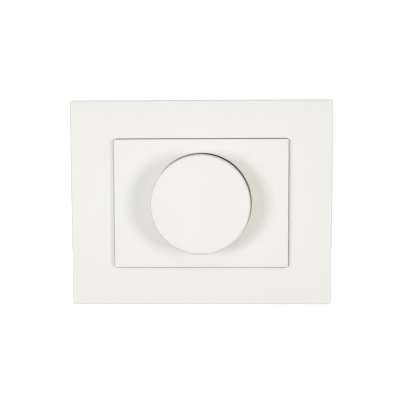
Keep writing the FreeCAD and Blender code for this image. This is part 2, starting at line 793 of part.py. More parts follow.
CLAWS = {"right": ("", "-"), "left": ("-", "")}
EAR_NEAR, EAR_FAR = "(claw_width/2+ear_gap)", "(claw_width/2+ear_gap+ear_thickness)"
ears, pin_holes, pins = [], [], []
for sign_x, sign_z in CLAWS.values():
    middle = f"{sign_z}(claw_side)"
    pin_start = f"{middle}-{EAR_FAR}"
    for end in ("-", "+"):
        span = sorted((f"{middle}{end}{EAR_NEAR}", f"{middle}{end}{EAR_FAR}"), key=value)
        sides = sorted((f"{sign_x}(claw_pivot-ear_half)", f"{sign_x}(claw_pivot+ear_half)"), key=value)
        ears.append(block(*sides, "-(claw_pivot_depth+ear_half)", "0", *span))
    pivot = {"x": f"{sign_x}(claw_pivot)", "height": "-(claw_pivot_depth)"}
    pin_holes.append(lying_bar("claw_pin", pin_start, f"2*{EAR_FAR}", "Z", **pivot))
    pins.append(lying_bar("claw_pin", pin_start, f"2*{EAR_FAR}", "Z", **pivot))
sub_part(cut(fuse(support, *ears), *pin_holes), "support_plate")
sub_part(group(*pins), "claw_pins")

# ---------------------------------------------------------------- claws and their screws
CLAW_FRONT = "(-(claw_pivot_depth)+claw_barrel)"
for name, (sign_x, sign_z) in CLAWS.items():
    middle = f"{sign_z}(claw_side)"
    low, high = f"{middle}-claw_width/2", f"{middle}+claw_width/2"
    pivot = {"x": f"{sign_x}(claw_pivot)", "height": "-(claw_pivot_depth)"}
    barrel = lying_bar("claw_barrel", low, "claw_width", "Z", **pivot)
    leg_far = "claw_pivot+claw_barrel"
    leg_sides = sorted((f"{sign_x}({leg_far}-claw_sheet)", f"{sign_x}({leg_far})"), key=value)
    leg = block(*leg_sides, "-(claw_pivot_depth+claw_reach)", "-(claw_pivot_depth)", low, high)
    tab_sides = sorted((f"{sign_x}(claw_tab_end)", f"{sign_x}(claw_pivot)"), key=value)
    tab = block(*tab_sides, f"{CLAW_FRONT}-claw_sheet", CLAW_FRONT, low, high)
    tooth_sides = sorted((f"{sign_x}({leg_far}-claw_sheet/2)", f"{sign_x}({leg_far}+claw_tooth)"), key=value)
    teeth = []
    for place in ("-claw_width/2", "-claw_width/10", "+claw_width*3/10"):
        tooth_low, tooth_high = f"{middle}{place}", f"{middle}{place}+claw_width/5"
        tooth_ends = "-(claw_pivot_depth+claw_reach)", "-(claw_pivot_depth+claw_reach-claw_sheet)"
        teeth.append(block(*tooth_sides, *tooth_ends, tooth_low, tooth_high))
    bore = lying_bar("claw_pin+running_gap", low, "claw_width", "Z", **pivot)
    sub_part(cut(fuse(barrel, leg, tab, *teeth), bore), f"claw_{name}")

claw_screws = []
for sign_x, sign_z in CLAWS.values():
    at = {"x": f"{sign_x}(claw_screw_side)", "z": f"{sign_z}(claw_side)"}
    shank = cylinder("claw_screw", f"{CLAW_FRONT}+touch_gap", "support_thickness", **at)
    head = cylinder("claw_head", "support_thickness", "support_thickness+claw_head_height", **at)
    slot_ends = "support_thickness+claw_head_height/2", "support_thickness+claw_head_height"
    slot_x = f"{at['x']}-claw_head", f"{at['x']}+claw_head"
    slot_z = f"{at['z']}-claw_head_height/4", f"{at['z']}+claw_head_height/4"
    claw_screws.append(cut(fuse(shank, head), block(*slot_x, *slot_ends, *slot_z)))
sub_part(group(*claw_screws), "claw_screws")

# ---------------------------------------------------------------- lid of the housing
lid = new_body("housing_lid")
outline = new_sketch(lid, LID_BACK)
add_flatted(outline, "housing_radius", "housing_flat")
pad(lid, outline, "lid_thickness")
holes = new_sketch(lid)
add_circle(holes, "bush_radius+assembly_gap")
for x, z in SCREW_PLACES:
    add_circle(holes, "small_screw+assembly_gap", x, z)
window_sides = "triac_side-triac_width/2-window_gap", "triac_side+triac_width/2+window_gap"
add_rectangle(holes, *window_sides, "triac_bottom-window_gap", "triac_top+window_gap")
pocket(lid, holes, "lid_thickness")
flat_bottom = new_sketch(lid)
add_rectangle(flat_bottom, "-(block_width/2)", "block_width/2", "-(housing_radius+1)", "-(block_bottom)")
pocket(lid, flat_bottom, "lid_thickness")

# ---------------------------------------------------------------- housing
housing = new_body("housing")
outline = new_sketch(housing, "-(housing_depth)")
add_flatted(outline, "housing_radius", "housing_flat")
pad(housing, outline, "housing_depth-lid_thickness")
cavity = new_sketch(housing, LID_BACK)
add_flatted(cavity, "housing_radius-housing_wall", "housing_flat-housing_wall")
pocket(housing, cavity, f"{LID_BACK}-{FLOOR_FRONT}")
bottom_wall = new_sketch(housing, "-(housing_depth)")
BLOCK_X = "-(block_width/2)", "block_width/2"
add_rectangle(bottom_wall, *BLOCK_X, "-(block_bottom)", "-(block_bottom-housing_wall)")
pad(housing, bottom_wall, "housing_depth-lid_thickness")
below = new_sketch(housing, "-(housing_depth)")
BELOW_Z = "-(housing_radius+1)", "-(block_bottom)"
add_rectangle(below, *BLOCK_X, *BELOW_Z)
pocket(housing, below, "housing_depth-lid_thickness", to_front=True)
terminal_block = new_sketch(housing, "-(housing_depth)")
add_rectangle(terminal_block, *BLOCK_X, "-(block_bottom)", "-(block_top)")
pad(housing, terminal_block, f"{BOARD_BACK}+housing_depth")
posts = new_sketch(housing, FLOOR_FRONT)
for x, z in SCREW_PLACES:
    add_circle(posts, "post_radius", x, z)
pad(housing, posts, f"{LID_BACK}-{FLOOR_FRONT}")
screw_holes = new_sketch(housing, LID_BACK)
for x, z in SCREW_PLACES:
    add_circle(screw_holes, "small_screw", x, z)
pocket(housing, screw_holes, "small_screw_reach")
pockets = new_sketch(housing, BOARD_BACK)
for x in TERMINALS:
    half = "cage_width/2+cage_gap"
    add_rectangle(pockets, f"{x}-({half})", f"{x}+{half}", "-(cage_bottom+cage_gap)", "-(cage_top-cage_gap)")
pocket(housing, pockets, f"{BOARD_BACK}-{FLOOR_FRONT}")
openings = new_sketch(housing, FLOOR_FRONT)
for x in TERMINALS:
    add_circle(openings, "wire_radius", x, "-(wire_height)")
for step in range(3):
    add_slot(openings, "0", f"vent_first+{step}*vent_step", "vent_length", "vent_radius")
pocket(housing, openings, "housing_floor")
# On the back are a sunk panel for a rating plate, a gauge for the length of wire to strip, and the
# round marks of the mould's ejector pins.
sunk = new_sketch(housing, "-(housing_depth)")
panel_z = "-(panel_drop+panel_height/2)", "-(panel_drop-panel_height/2)"
add_rectangle(sunk, "-(panel_width/2)", "panel_width/2", *panel_z)
gauge_z = "-(gauge_drop+gauge_width/2)", "-(gauge_drop-gauge_width/2)"
add_rectangle(sunk, "-(gauge_length/2)", "gauge_length/2", *gauge_z)
for x in ("-(ejector_side)", "ejector_side"):
    for z in ("ejector_top", "-(ejector_bottom)"):
        add_circle(sunk, "ejector_radius", x, z)
pocket(housing, sunk, "mark_depth", to_front=True)
CAGE_BACK = f"({FLOOR_FRONT}+touch_gap)"
SCREW_HEIGHT = f"({CAGE_BACK}+cage_length/2)"
access = new_sketch(housing, "-(block_bottom)", "XY_Plane")
for x in TERMINALS:
    add_circle(access, "terminal_head+assembly_gap", x, f"-{SCREW_HEIGHT}")
pocket(housing, access, "block_bottom-head_shoulder", to_front=True)
shank_holes = new_sketch(housing, "-(head_shoulder)", "XY_Plane")
for x in TERMINALS:
    add_circle(shank_holes, "terminal_screw+assembly_gap", x, f"-{SCREW_HEIGHT}")
pocket(housing, shank_holes, "head_shoulder-cage_bottom", to_front=True)

housing_screws = []
for x, z in SCREW_PLACES:
    shank = cylinder("small_screw", "-(lid_thickness+small_screw_reach)", "support_thickness", x, z)
    head = cylinder("small_head", "support_thickness", "support_thickness+small_head_height", x, z)
    across = f"{x}-small_head/2", f"{x}+small_head/2"
    thin = f"{z}-small_head/8", f"{z}+small_head/8"
    upright = f"{z}-small_head/2", f"{z}+small_head/2"
    narrow = f"{x}-small_head/8", f"{x}+small_head/8"
    drive = "support_thickness+small_head_height/3", "support_thickness+small_head_height"
    cross = block(*across, *drive, *thin), block(*narrow, *drive, *upright)
    housing_screws.append(cut(fuse(shank, head), *cross))
sub_part(group(*housing_screws), "housing_screws")

# ---------------------------------------------------------------- circuit board
board = new_body("circuit_board")
outline = new_sketch(board, BOARD_BACK)
clear_wall = "housing_wall+board_gap"
add_flatted(outline, f"housing_radius-{clear_wall.replace('+', '-')}", "housing_flat-housing_wall-board_gap")
pad(board, outline, "board_thickness")
holes = new_sketch(board, BOARD_FRONT)
add_circle(holes, BOARD_HOLE)
for x in TERMINALS:
    add_rectangle(holes, f"{x}-bar_width/2", f"{x}+bar_width/2", "-(bar_top+bar_thickness)", "-(bar_top)")
LEG_LOW, LEG_HIGH = "(switch_size/2)", "(switch_size/2+leg_thickness)"
for side in ("-", ""):
    middle = f"{side}(contact_side)"
    add_rectangle(holes, f"{middle}-contact_width/2", f"{middle}+contact_width/2", LEG_LOW, LEG_HIGH)
pocket(board, holes, "board_thickness")
notches = new_sketch(board, BOARD_FRONT)
for x, z in SCREW_PLACES:
    add_circle(notches, "post_radius+board_gap", x, z)
pocket(board, notches, "board_thickness")
flat_bottom = new_sketch(board, BOARD_FRONT)
board_bottom = "-(block_bottom-housing_wall-board_gap)"
add_rectangle(flat_bottom, "-(block_width/2)", "block_width/2", "-(housing_radius)", board_bottom)
pocket(board, flat_bottom, "board_thickness")

# ---------------------------------------------------------------- potentiometer
can = new_body("pot_can")
revolve(can, [
    ("shaft_radius+2*assembly_gap", FLANGE_BACK),
    ("pot_radius", FLANGE_BACK),
    ("pot_radius", CAN_BACK),
    ("pot_radius-can_sheet", CAN_BACK),
    ("pot_radius-can_sheet", f"{FLANGE_BACK}-can_sheet"),
    ("shaft_radius+2*assembly_gap", f"{FLANGE_BACK}-can_sheet"),
])
base = cut(cylinder("pot_radius", BOARD_FRONT, CAN_BACK), cylinder(BOARD_HOLE, BOARD_FRONT, CAN_BACK))
sub_part(base, "pot_base")
TRACK_FRONT = f"({CAN_BACK}+track_thickness)"
track_ring = cylinder("track_outer", CAN_BACK, TRACK_FRONT)
track_bore = cylinder("track_inner", CAN_BACK, TRACK_FRONT)
track_gap = block("-(track_break/2)", "track_break/2", CAN_BACK, TRACK_FRONT, "-(rotor_radius)", "0")
sub_part(cut(track_ring, track_bore, track_gap), "resistance_track")

HUB_FRONT = f"({FLANGE_BACK}-can_sheet-slider_play)"
rotor = new_body("rotor")
revolve(rotor, [
    ("0", f"{CAN_BACK}+slider_play"),
    ("hub_radius", f"{CAN_BACK}+slider_play"),
    ("hub_radius", "-(rotor_back)"),
    ("rotor_radius", "-(rotor_back)"),
    ("rotor_radius", "-(rotor_back)+rotor_thickness"),
    ("hub_radius", "-(rotor_back)+rotor_thickness"),
    ("hub_radius", HUB_FRONT),
    ("0", HUB_FRONT),
])
tail_bore = new_sketch(rotor, HUB_FRONT)
add_d_shape(tail_bore, "tail_radius+running_gap", "tail_flat+running_gap")
pocket(rotor, tail_bore, f"{HUB_FRONT}-({CAN_BACK})")

# The wiper lies at the start of the track, low on the left, when the knob is at its lowest setting.
strip_back = "(-(rotor_back)-wiper_sheet)"
wiper_half = "wiper_width/2"
wiper_sides = f"-({wiper_half})", wiper_half
strip = block("hub_radius", "rotor_radius-wiper_margin", strip_back, "-(rotor_back)", *wiper_sides)
finger_x = "(track_inner+track_outer)/2"
finger_sides = f"{finger_x}-wiper_sheet", f"{finger_x}+wiper_sheet"
finger = block(*finger_sides, f"{TRACK_FRONT}+touch_gap", strip_back, *wiper_sides)
wiper = fuse(strip, finger)
wiper.Placement = Placement(Vector(), Rotation(Vector(0, 1, 0), 135))
sub_part(wiper, "wiper")

# ---------------------------------------------------------------- push switch


def switch_leg(side):
    """The path of one fixed contact from the switch floor, out through its wall and up to the board."""
    middle = f"{side}(contact_side)"
    wide = f"{middle}-contact_width/2", f"{middle}+contact_width/2"
    floor = f"({SWITCH_BACK}+switch_wall)"
    foot = block(*wide, floor, f"{floor}+leg_thickness", "contact_offset", LEG_HIGH)
    riser = block(*wide, floor, BOARD_FRONT, LEG_LOW, LEG_HIGH)
    return foot, riser


SWITCH_HALF, SWITCH_INNER = "(switch_size/2)", "(switch_size/2-switch_wall)"
case = block(f"-{SWITCH_HALF}", SWITCH_HALF, SWITCH_BACK, BOARD_BACK, f"-{SWITCH_HALF}", SWITCH_HALF)
inside = f"{SWITCH_BACK}+switch_wall", BOARD_BACK
room = block(f"-{SWITCH_INNER}", SWITCH_INNER, *inside, f"-{SWITCH_INNER}", SWITCH_INNER)
feet = [switch_leg(side)[0] for side in ("-", "")]
sub_part(cut(case, room, *feet), "switch_case")

SLIDER_HALF = "(slider_size/2)"
SLIDER_SPAN = f"-{SLIDER_HALF}", SLIDER_HALF
slider_plate = block(*SLIDER_SPAN, SLIDER_BACK, SLIDER_FRONT, *SLIDER_SPAN)
stem = cylinder("stem_radius", SLIDER_FRONT, STEM_FRONT)
guide = cylinder("guide_radius", f"{SLIDER_BACK}-guide_length", SLIDER_BACK)
sub_part(fuse(slider_plate, stem, guide), "switch_slider")

bridge_z = "contact_offset-contact_width/2", "contact_offset+contact_width/2"
bridge_x = "-(contact_side+contact_width/2)", "contact_side+contact_width/2"
bridge = block(*bridge_x, f"{SLIDER_BACK}-contact_sheet", SLIDER_BACK, *bridge_z)
bridge_rivets = [
    cylinder("rivet_radius", RIVET_BACK, f"{SLIDER_BACK}-contact_sheet", x, "contact_offset")
    for x in ("-(contact_side)", "contact_side")
]
sub_part(fuse(bridge, *bridge_rivets), "moving_contact")

fixed_contacts = []
for side in ("-", ""):
    middle = f"{side}(contact_side)"
    wide = f"{middle}-contact_width/2", f"{middle}+contact_width/2"
    thick = "contact_offset-leg_thickness/2", "contact_offset+leg_thickness/2"
    upright = block(*wide, f"{SWITCH_BACK}+switch_wall", f"{FIXED_FRONT}-rivet_height", *thick)
    rivet = cylinder("rivet_radius", f"{FIXED_FRONT}-rivet_height", FIXED_FRONT, middle, "contact_offset")
    fixed_contacts.append(fuse(upright, rivet, *switch_leg(side)))
sub_part(group(*fixed_contacts), "fixed_contacts")

spring_start, spring_end = f"({SWITCH_BACK}+switch_wall+spring_wire)", f"({SLIDER_BACK}-spring_wire)"
coil = doc.addObject("Part::Helix", "coil")
bind(coil, "Radius", "spring_radius")
bind(coil, "Height", f"{spring_end}-{spring_start}")
bind(coil, "Pitch", f"({spring_end}-{spring_start})/spring_turns")
coil.Placement = Placement(Vector(), Rotation(Vector(1, 0, 0), 90))
bind(coil, "Placement.Base.y", f"-{spring_start}")
wire_section = doc.addObject("Part::Circle", "wire_section")
bind(wire_section, "Radius", "spring_wire")
bind(wire_section, "Placement.Base.x", "spring_radius")
bind(wire_section, "Placement.Base.y", f"-{spring_start}")
spring = doc.addObject("Part::Sweep", "spring")
spring.Sections = [wire_section]
doc.recompute()
spring.Spine = (coil, [f"Edge{n}" for n in range(1, len(coil.Shape.Edges) + 1)])
spring.Solid = True
spring.Frenet = True
sub_part(spring, "switch_spring")

# ---------------------------------------------------------------- terminals
cages, bars, terminal_screws = [], [], []
for x in TERMINALS:
    cage_ends = CAGE_BACK, f"{CAGE_BACK}+cage_length"
    outside = block(f"{x}-cage_width/2", f"{x}+cage_width/2", *cage_ends, "-(cage_bottom)", "-(cage_top)")
    bore_x = f"{x}-(cage_width/2-cage_wall)", f"{x}+cage_width/2-cage_wall"
    bore_z = "-(cage_bottom-cage_wall)", "-(cage_top+cage_wall)"
    thread = lying_bar("terminal_screw", "-(cage_bottom)", "cage_wall", "Z", x=x, height=SCREW_HEIGHT)
    cages.append(cut(outside, block(*bore_x, *cage_ends, *bore_z), thread))
    bar_z = "-(bar_top+bar_thickness)", "-(bar_top)"
    bars.append(block(f"{x}-bar_width/2", f"{x}+bar_width/2", CAGE_BACK, "-(bar_front)", *bar_z))
    at = {"x": x, "height": SCREW_HEIGHT}
    shank_length = "head_shoulder-bar_top-bar_thickness"
    shank = lying_bar("terminal_screw", "-(head_shoulder)", shank_length, "Z", **at)
    head_bottom = "-(head_shoulder+head_height)"
    head = lying_bar("terminal_head", head_bottom, "head_height", "Z", **at)
    slot_x = f"{x}-terminal_head", f"{x}+terminal_head"
    slot_height = f"{SCREW_HEIGHT}-head_height/4", f"{SCREW_HEIGHT}+head_height/4"
    slot = block(*slot_x, *slot_height, head_bottom, f"{head_bottom}+head_height/2")
    terminal_screws.append(cut(fuse(shank, head), slot))
sub_part(group(*cages), "terminal_cages")
sub_part(group(*bars), "terminal_bars")
sub_part(group(*terminal_screws), "terminal_screws")

# ---------------------------------------------------------------- triac and its insulating pad
TRIAC_X = "triac_side-triac_width/2", "triac_side+triac_width/2"
TAB_BACK = "(-pad_thickness-triac_tab)"
BODY_TOP = "(triac_bottom+triac_body_height)"
pad_sheet = block(*TRIAC_X, "-(pad_thickness)", "0", "triac_bottom", "triac_top")
pad_hole = cylinder("triac_screw", "-(pad_thickness)", "0", "triac_side", "triac_hole_place")
sub_part(cut(pad_sheet, pad_hole), "insulating_pad")
tab = block(*TRIAC_X, TAB_BACK, "-(pad_thickness)", "triac_bottom", "triac_top")
tab_hole = cylinder("triac_screw", TAB_BACK, "-(pad_thickness)", "triac_side", "triac_hole_place")
resin = block(*TRIAC_X, "-(pad_thickness+triac_depth)", TAB_BACK, "triac_bottom", BODY_TOP)
legs = []
for step in ("-", "0*", ""):
    middle = f"(triac_side+({step}(triac_leg_pitch)))"
    wide = f"{middle}-triac_leg/2", f"{middle}+triac_leg/2"
    leg_back, leg_front = f"{TAB_BACK}-2*triac_leg", f"{TAB_BACK}-triac_leg"
    upright = "triac_bottom-triac_leg_drop", "triac_bottom+triac_leg_root"
    legs.append(block(*wide, leg_back, leg_front, *upright))
    foot = "triac_bottom-triac_leg_drop", "triac_bottom-triac_leg_drop+triac_leg"
    legs.append(block(*wide, BOARD_FRONT, leg_front, *foot))
sub_part(fuse(cut(tab, tab_hole), resin, *legs), "triac")
screw_back = f"({TAB_BACK}-triac_nut_thickness)"
triac_shank = cylinder("triac_screw", screw_back, "support_thickness", "triac_side", "triac_hole_place")
head_ends = "support_thickness", "support_thickness+small_head_height"
triac_head = cylinder("triac_head", *head_ends, "triac_side", "triac_hole_place")
sub_part(fuse(triac_shank, triac_head), "triac_screw")
hexagon_nut(
    "triac_nut", "triac_screw", "triac_nut*2/sqrt(3)", screw_back, TAB_BACK, "triac_side", "triac_hole_place"
)

# ---------------------------------------------------------------- choke
CHOKE = {"x": "-(choke_side)", "z": "choke_up"}
core_ends = f"{BOARD_FRONT}+winding_build", f"{BOARD_FRONT}+winding_build+choke_height"
wound_ends = BOARD_FRONT, f"{BOARD_FRONT}+2*winding_build+choke_height"


def choke_core():
    return cut(cylinder("choke_outer", *core_ends, **CHOKE), cylinder("choke_inner", *core_ends, **CHOKE))


sub_part(choke_core(), "choke_core")
wound = cylinder("choke_outer+winding_build", *wound_ends, **CHOKE)
eye = cylinder("choke_inner-winding_build", *wound_ends, **CHOKE)
break_x = "-(choke_side)-winding_build", "-(choke_side)+winding_build"
winding_break = block(*break_x, *wound_ends, "choke_up", "choke_up+choke_outer+2*winding_build")
sub_part(cut(wound, eye, winding_break, choke_core()), "choke_winding")

# ---------------------------------------------------------------- capacitors, fuse and small parts
film_x = "-(film_side+film_width/2)", "-(film_side-film_width/2)"
film = block(*film_x, f"{BOARD_BACK}-film_depth", BOARD_BACK, "-(film_length/2)", "film_length/2")
film_back = lies_at(f"{BOARD_BACK}-film_depth")
sub_part(rounded(film, "film_edge", film_back), "film_capacitor")

timing_x = "-(timing_side+timing_width/2)", "-(timing_side-timing_width/2)"
timing_z = "-(timing_drop+timing_thickness/2)", "-(timing_drop-timing_thickness/2)"
timing = block(*timing_x, BOARD_FRONT, f"{BOARD_FRONT}+timing_height", *timing_z)
sub_part(rounded(timing, "timing_edge", lies_at(f"{BOARD_FRONT}+timing_height")), "timing_capacitor")

FUSE_HEIGHT = f"({BOARD_BACK}-fuse_lift)"
FUSE_AT = {"x": "fuse_side", "height": FUSE_HEIGHT}
glass = lying_bar("fuse_radius", "-(fuse_bottom)", "fuse_length", "Z", **FUSE_AT)
glass_bore = lying_bar("fuse_radius-fuse_wall", "-(fuse_bottom)", "fuse_length", "Z", **FUSE_AT)
sub_part(cut(glass, glass_bore), "fuse_glass")
CAP_STARTS = ["-(fuse_bottom)-cap_sheet", "fuse_length-fuse_bottom+cap_sheet-cap_length"]
caps, clips = [], []
for start, inner in zip(CAP_STARTS, ["-(fuse_bottom)", "fuse_length-fuse_bottom+cap_sheet-cap_length"]):
    shell = lying_bar("fuse_radius+cap_sheet", start, "cap_length", "Z", **FUSE_AT)
    core = lying_bar("fuse_radius", inner, "cap_length-cap_sheet", "Z", **FUSE_AT)
    caps.append(cut(shell, core))
    clip_z = f"{start}+(cap_length-clip_width)/2", f"{start}+(cap_length+clip_width)/2"
    clip_half = "(fuse_radius+cap_sheet+clip_sheet)"
    clip_x = f"fuse_side-{clip_half}", f"fuse_side+{clip_half}"
    jaws = block(*clip_x, f"{FUSE_HEIGHT}-fuse_radius/2", BOARD_BACK, *clip_z)
    seat = lying_bar("fuse_radius+cap_sheet", start, "cap_length", "Z", **FUSE_AT)
    mouth_half = "(fuse_radius+cap_sheet-clip_grip)"
    mouth_x = f"fuse_side-{mouth_half}", f"fuse_side+{mouth_half}"
    mouth = block(*mouth_x, f"{FUSE_HEIGHT}-fuse_radius", FUSE_HEIGHT, *clip_z)
    clips.append(cut(jaws, seat, mouth))
sub_part(group(*caps), "fuse_caps")
sub_part(group(*clips), "fuse_clips")


def axial_part(radius, length, spread, x, z):
    """A round component lying on the board with a lead at each end bent down to it."""
    axis_height = f"({BOARD_FRONT}+{radius})"
    body = lying_bar(radius, f"{x}-{length}/2", length, "X", height=axis_height, z=z)
    lead = lying_bar("lead_radius", f"{x}-{spread}", f"2*{spread}", "X", height=axis_height, z=z)
    drops = []
    for start in (f"{x}-{spread}", f"{x}+{spread}-2*lead_drop"):
        square = start, f"{start}+2*lead_drop"
        drops.append(block(*square, BOARD_FRONT, axis_height, f"{z}-lead_drop", f"{z}+lead_drop"))
    return fuse(body, lead, *drops)


resistor_places = [
    ("-(axial_side)", "-(axial_drop)"),
    ("axial_side", "-(axial_drop)"),
    ("axial_side", "-(axial_drop+axial_step)"),
]
resistors = [axial_part("axial_radius", "axial_length", "lead_spread", x, z) for x, z in resistor_places]
sub_part(group(*resistors), "resistors")
sub_part(axial_part("diac_radius", "diac_length", "diac_spread", "0", "-(diac_drop)"), "diac")

# ---------------------------------------------------------------- check and export
doc.recompute()
for thing in doc.Objects:
    if {"Invalid", "Error"} & set(thing.State):
        raise RuntimeError(f"{thing.Label} does not recompute: {thing.State}")
for thing in SUB_PARTS:
    if thing.Shape.isNull() or not thing.Shape.isValid():
        raise RuntimeError(f"{thing.Label} has no valid shape")

os.makedirs("parts", exist_ok=True)
for thing in SUB_PARTS:
    thing.Shape.exportStep(f"parts/{thing.Label}.step")
print(f"{len(SUB_PARTS)} sub-parts written")
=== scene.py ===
# %% [markdown]
# # A rotary dimmer, finished for a picture
# The switch is a wide white frame, a centre plate that stands a little proud of it, and a round knob that
# is turned to dim the lamp and pushed to switch it. Behind the wall plane sit a steel support plate, two
# claws and a moulded housing with the electronics in it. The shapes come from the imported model, in metres,
# with X to the right, Z up and Y into the wall. This lesson gives each part its finish, adds the windings,
# threads and solder that a CAD model leaves out, and sets up the camera and the light.

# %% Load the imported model
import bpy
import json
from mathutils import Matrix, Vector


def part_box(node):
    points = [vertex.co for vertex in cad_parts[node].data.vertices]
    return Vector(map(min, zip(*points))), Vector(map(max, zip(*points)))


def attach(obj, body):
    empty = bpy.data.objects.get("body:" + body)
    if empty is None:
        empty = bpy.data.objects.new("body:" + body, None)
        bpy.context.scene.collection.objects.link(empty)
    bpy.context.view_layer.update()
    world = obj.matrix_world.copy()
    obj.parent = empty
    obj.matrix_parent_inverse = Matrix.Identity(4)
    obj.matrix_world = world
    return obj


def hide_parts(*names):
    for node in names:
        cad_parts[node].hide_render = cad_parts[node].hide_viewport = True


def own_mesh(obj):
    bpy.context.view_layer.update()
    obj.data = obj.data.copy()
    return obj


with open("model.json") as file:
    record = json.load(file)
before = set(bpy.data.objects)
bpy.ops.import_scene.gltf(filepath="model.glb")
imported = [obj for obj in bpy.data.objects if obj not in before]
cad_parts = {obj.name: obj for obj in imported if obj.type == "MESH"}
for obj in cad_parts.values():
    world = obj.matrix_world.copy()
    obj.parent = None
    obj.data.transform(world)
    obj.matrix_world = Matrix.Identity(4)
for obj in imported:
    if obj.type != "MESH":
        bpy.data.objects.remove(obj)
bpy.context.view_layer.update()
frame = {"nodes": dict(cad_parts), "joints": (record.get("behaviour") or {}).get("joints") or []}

# %% The rest of the tools
import json
import math

import bmesh
import bpy
from mathutils import Matrix, Vector

MM = 0.001
scene = bpy.context.scene
nodes = frame["nodes"]

# %% [markdown]
# ## Where the picture is taken from
# The product is seen almost square on, from a little above and to the right of the knob's axis. A flat,
# rectangular thing shows the smallest change of angle, so the camera is given as a point, three small turns
# and a lens. The lens slides on its mount, as on a view camera, by about a twentieth of the film's width,
# which centres the object without turning the camera further. The lens and its slide are given in
# millimetres, and so is the film. Blender wants the slide as a share of the film's width.

# %% Camera
FILM_WIDTH, LENS, LENS_SLIDE = 36.0, 62.0576, (-0.3216, 2.0278)
CAMERA_PLACE = Vector((6.84, -275.0, 10.61)) * MM
CAMERA_TURNS = {"across": 1.16, "down": 3.95, "roll": 0.15}


def film_camera():
    data = bpy.data.cameras.new("camera")
    data.sensor_width = FILM_WIDTH
    data.lens = LENS
    data.shift_x, data.shift_y = (slide / FILM_WIDTH for slide in LENS_SLIDE)
    data.clip_start = 10 * MM
    camera = bpy.data.objects.new("camera", data)
    across, down, roll = (math.radians(CAMERA_TURNS[turn]) for turn in ("across", "down", "roll"))
    level = Matrix.Rotation(math.radians(90), 4, "X")
    turned = Matrix.Rotation(across, 4, "Z") @ Matrix.Rotation(-down, 4, "X") @ Matrix.Rotation(roll, 4, "Y")
    camera.matrix_world = Matrix.Translation(CAMERA_PLACE) @ turned @ level
    scene.collection.objects.link(camera)
    scene.camera = camera
    return camera


camera = film_camera()
print("lens, mm:", round(camera.data.lens, 1))

# %% [markdown]
# ## Plain arithmetic for shaders
# A finish is a small graph of nodes, and most of it is arithmetic on masks. Written node by node that is
# long and hard to read. One class that holds a node's output, and turns + - * < > into Math nodes, lets
# a mask be written as an expression. Numbers alone are still worked out in Python, and colours never go
# through it, because a Math node turns them grey.

# %% A node's output that can be added and multiplied
class Wire:
    """The output of a node in one tree."""

    def __init__(self, tree, socket):
        self.tree, self.socket = tree, socket

    def sum_node(self, operation, first, second):
        return self.tree.add("ShaderNodeMath", {"operation": operation}, {0: first, 1: second})

    def __add__(self, other):
        return self.sum_node("ADD", self, other)

    def __sub__(self, other):
        return self.sum_node("SUBTRACT", self, other)

    def __rsub__(self, other):
        return self.sum_node("SUBTRACT", other, self)

    def __mul__(self, other):
        return self.sum_node("MULTIPLY", self, other)

    def __gt__(self, other):
        return self.sum_node("GREATER_THAN", self, other)

    def __lt__(self, other):
        return self.sum_node("LESS_THAN", self, other)

    __radd__, __rmul__ = __add__, __mul__


# %% The tree that the nodes are added to
class Tree:
    """A node tree, with one way of adding a node to it."""

    def __init__(self, owner):
        owner.use_nodes = True
        self.owner, self.tree = owner, owner.node_tree
        self.tree.nodes.clear()

    def add(self, kind, settings=None, sockets=None, output=0):
        """Adds a node and gives back one of its outputs, by number or by name."""
        node = self.tree.nodes.new(kind)
        for name, setting in (settings or {}).items():
            if name == "stops":
                self.set_stops(node.color_ramp, setting)
            else:
                setattr(node, name, setting)
        for name, source in (sockets or {}).items():
            if isinstance(source, Wire):
                self.tree.links.new(source.socket, node.inputs[name])
            else:
                node.inputs[name].default_value = source
        return Wire(self, node.outputs[output]) if node.outputs else None

    def set_stops(self, ramp, stops):
        while len(ramp.elements) < len(stops):
            ramp.elements.new(1.0)
        for element, (place, color) in zip(ramp.elements, stops):
            element.position, element.color = place, color

# %% [markdown]
# ## Words that every finish uses
# Three helpers make most of the detail: a cloud of noise at a chosen size, a ramp from one number to
# another, and a mix of two colours. A fourth takes a point apart into its three coordinates. Sizes are given
# in millimetres, because that is how the real texture is measured: a spark-eroded mould leaves grains of
# about a tenth of a millimetre.

# %% Clouds, ramps and mixes
def rgba(color):
    return (*color, 1.0)


def place_on_object(tree):
    return tree.add("ShaderNodeTexCoord", output="Object")


def split(tree, vector):
    return [tree.add("ShaderNodeSeparateXYZ", sockets={"Vector": vector}, output=axis) for axis in range(3)]


def stretched(tree, place, stretch):
    return tree.add("ShaderNodeMapping", sockets={"Vector": place, "Scale": stretch})


def clouds(tree, size_mm, detail=2.0, stretch=(1, 1, 1), roughness=0.5):
    """Noise from 0 to 1 whose blotches are about size_mm across."""
    place = place_on_object(tree)
    if tuple(stretch) != (1, 1, 1):
        place = stretched(tree, place, stretch)
    sockets = {"Vector": place, "Scale": 1 / (size_mm * MM), "Detail": detail, "Roughness": roughness}
    return tree.add("ShaderNodeTexNoise", sockets=sockets)


def ramp(tree, mask, *stops):
    """A ramp given as (place, number) pairs."""
    grey = [(place, (level, level, level, 1.0)) for place, level in stops]
    return tree.add("ShaderNodeValToRGB", {"stops": grey}, {"Fac": mask})


def mixed(tree, factor, first, second):
    return tree.add("ShaderNodeMix", {"data_type": "RGBA"}, {"Factor": factor, 6: first, 7: second}, 2)


def bumps(tree, height, depth_mm, under=None):
    """A bump whose highest point stands depth_mm above its lowest."""
    sockets = {"Height": height, "Distance": depth_mm * MM, "Strength": 1.0}
    if under:
        sockets["Normal"] = under
    return tree.add("ShaderNodeBump", sockets=sockets)

# %% [markdown]
# ## From a graph to a material
# Every finish ends in one Principled shader. What varies over the surface is wired to its colour,
# roughness or normal, and what is the same everywhere is written on the shader's own socket.

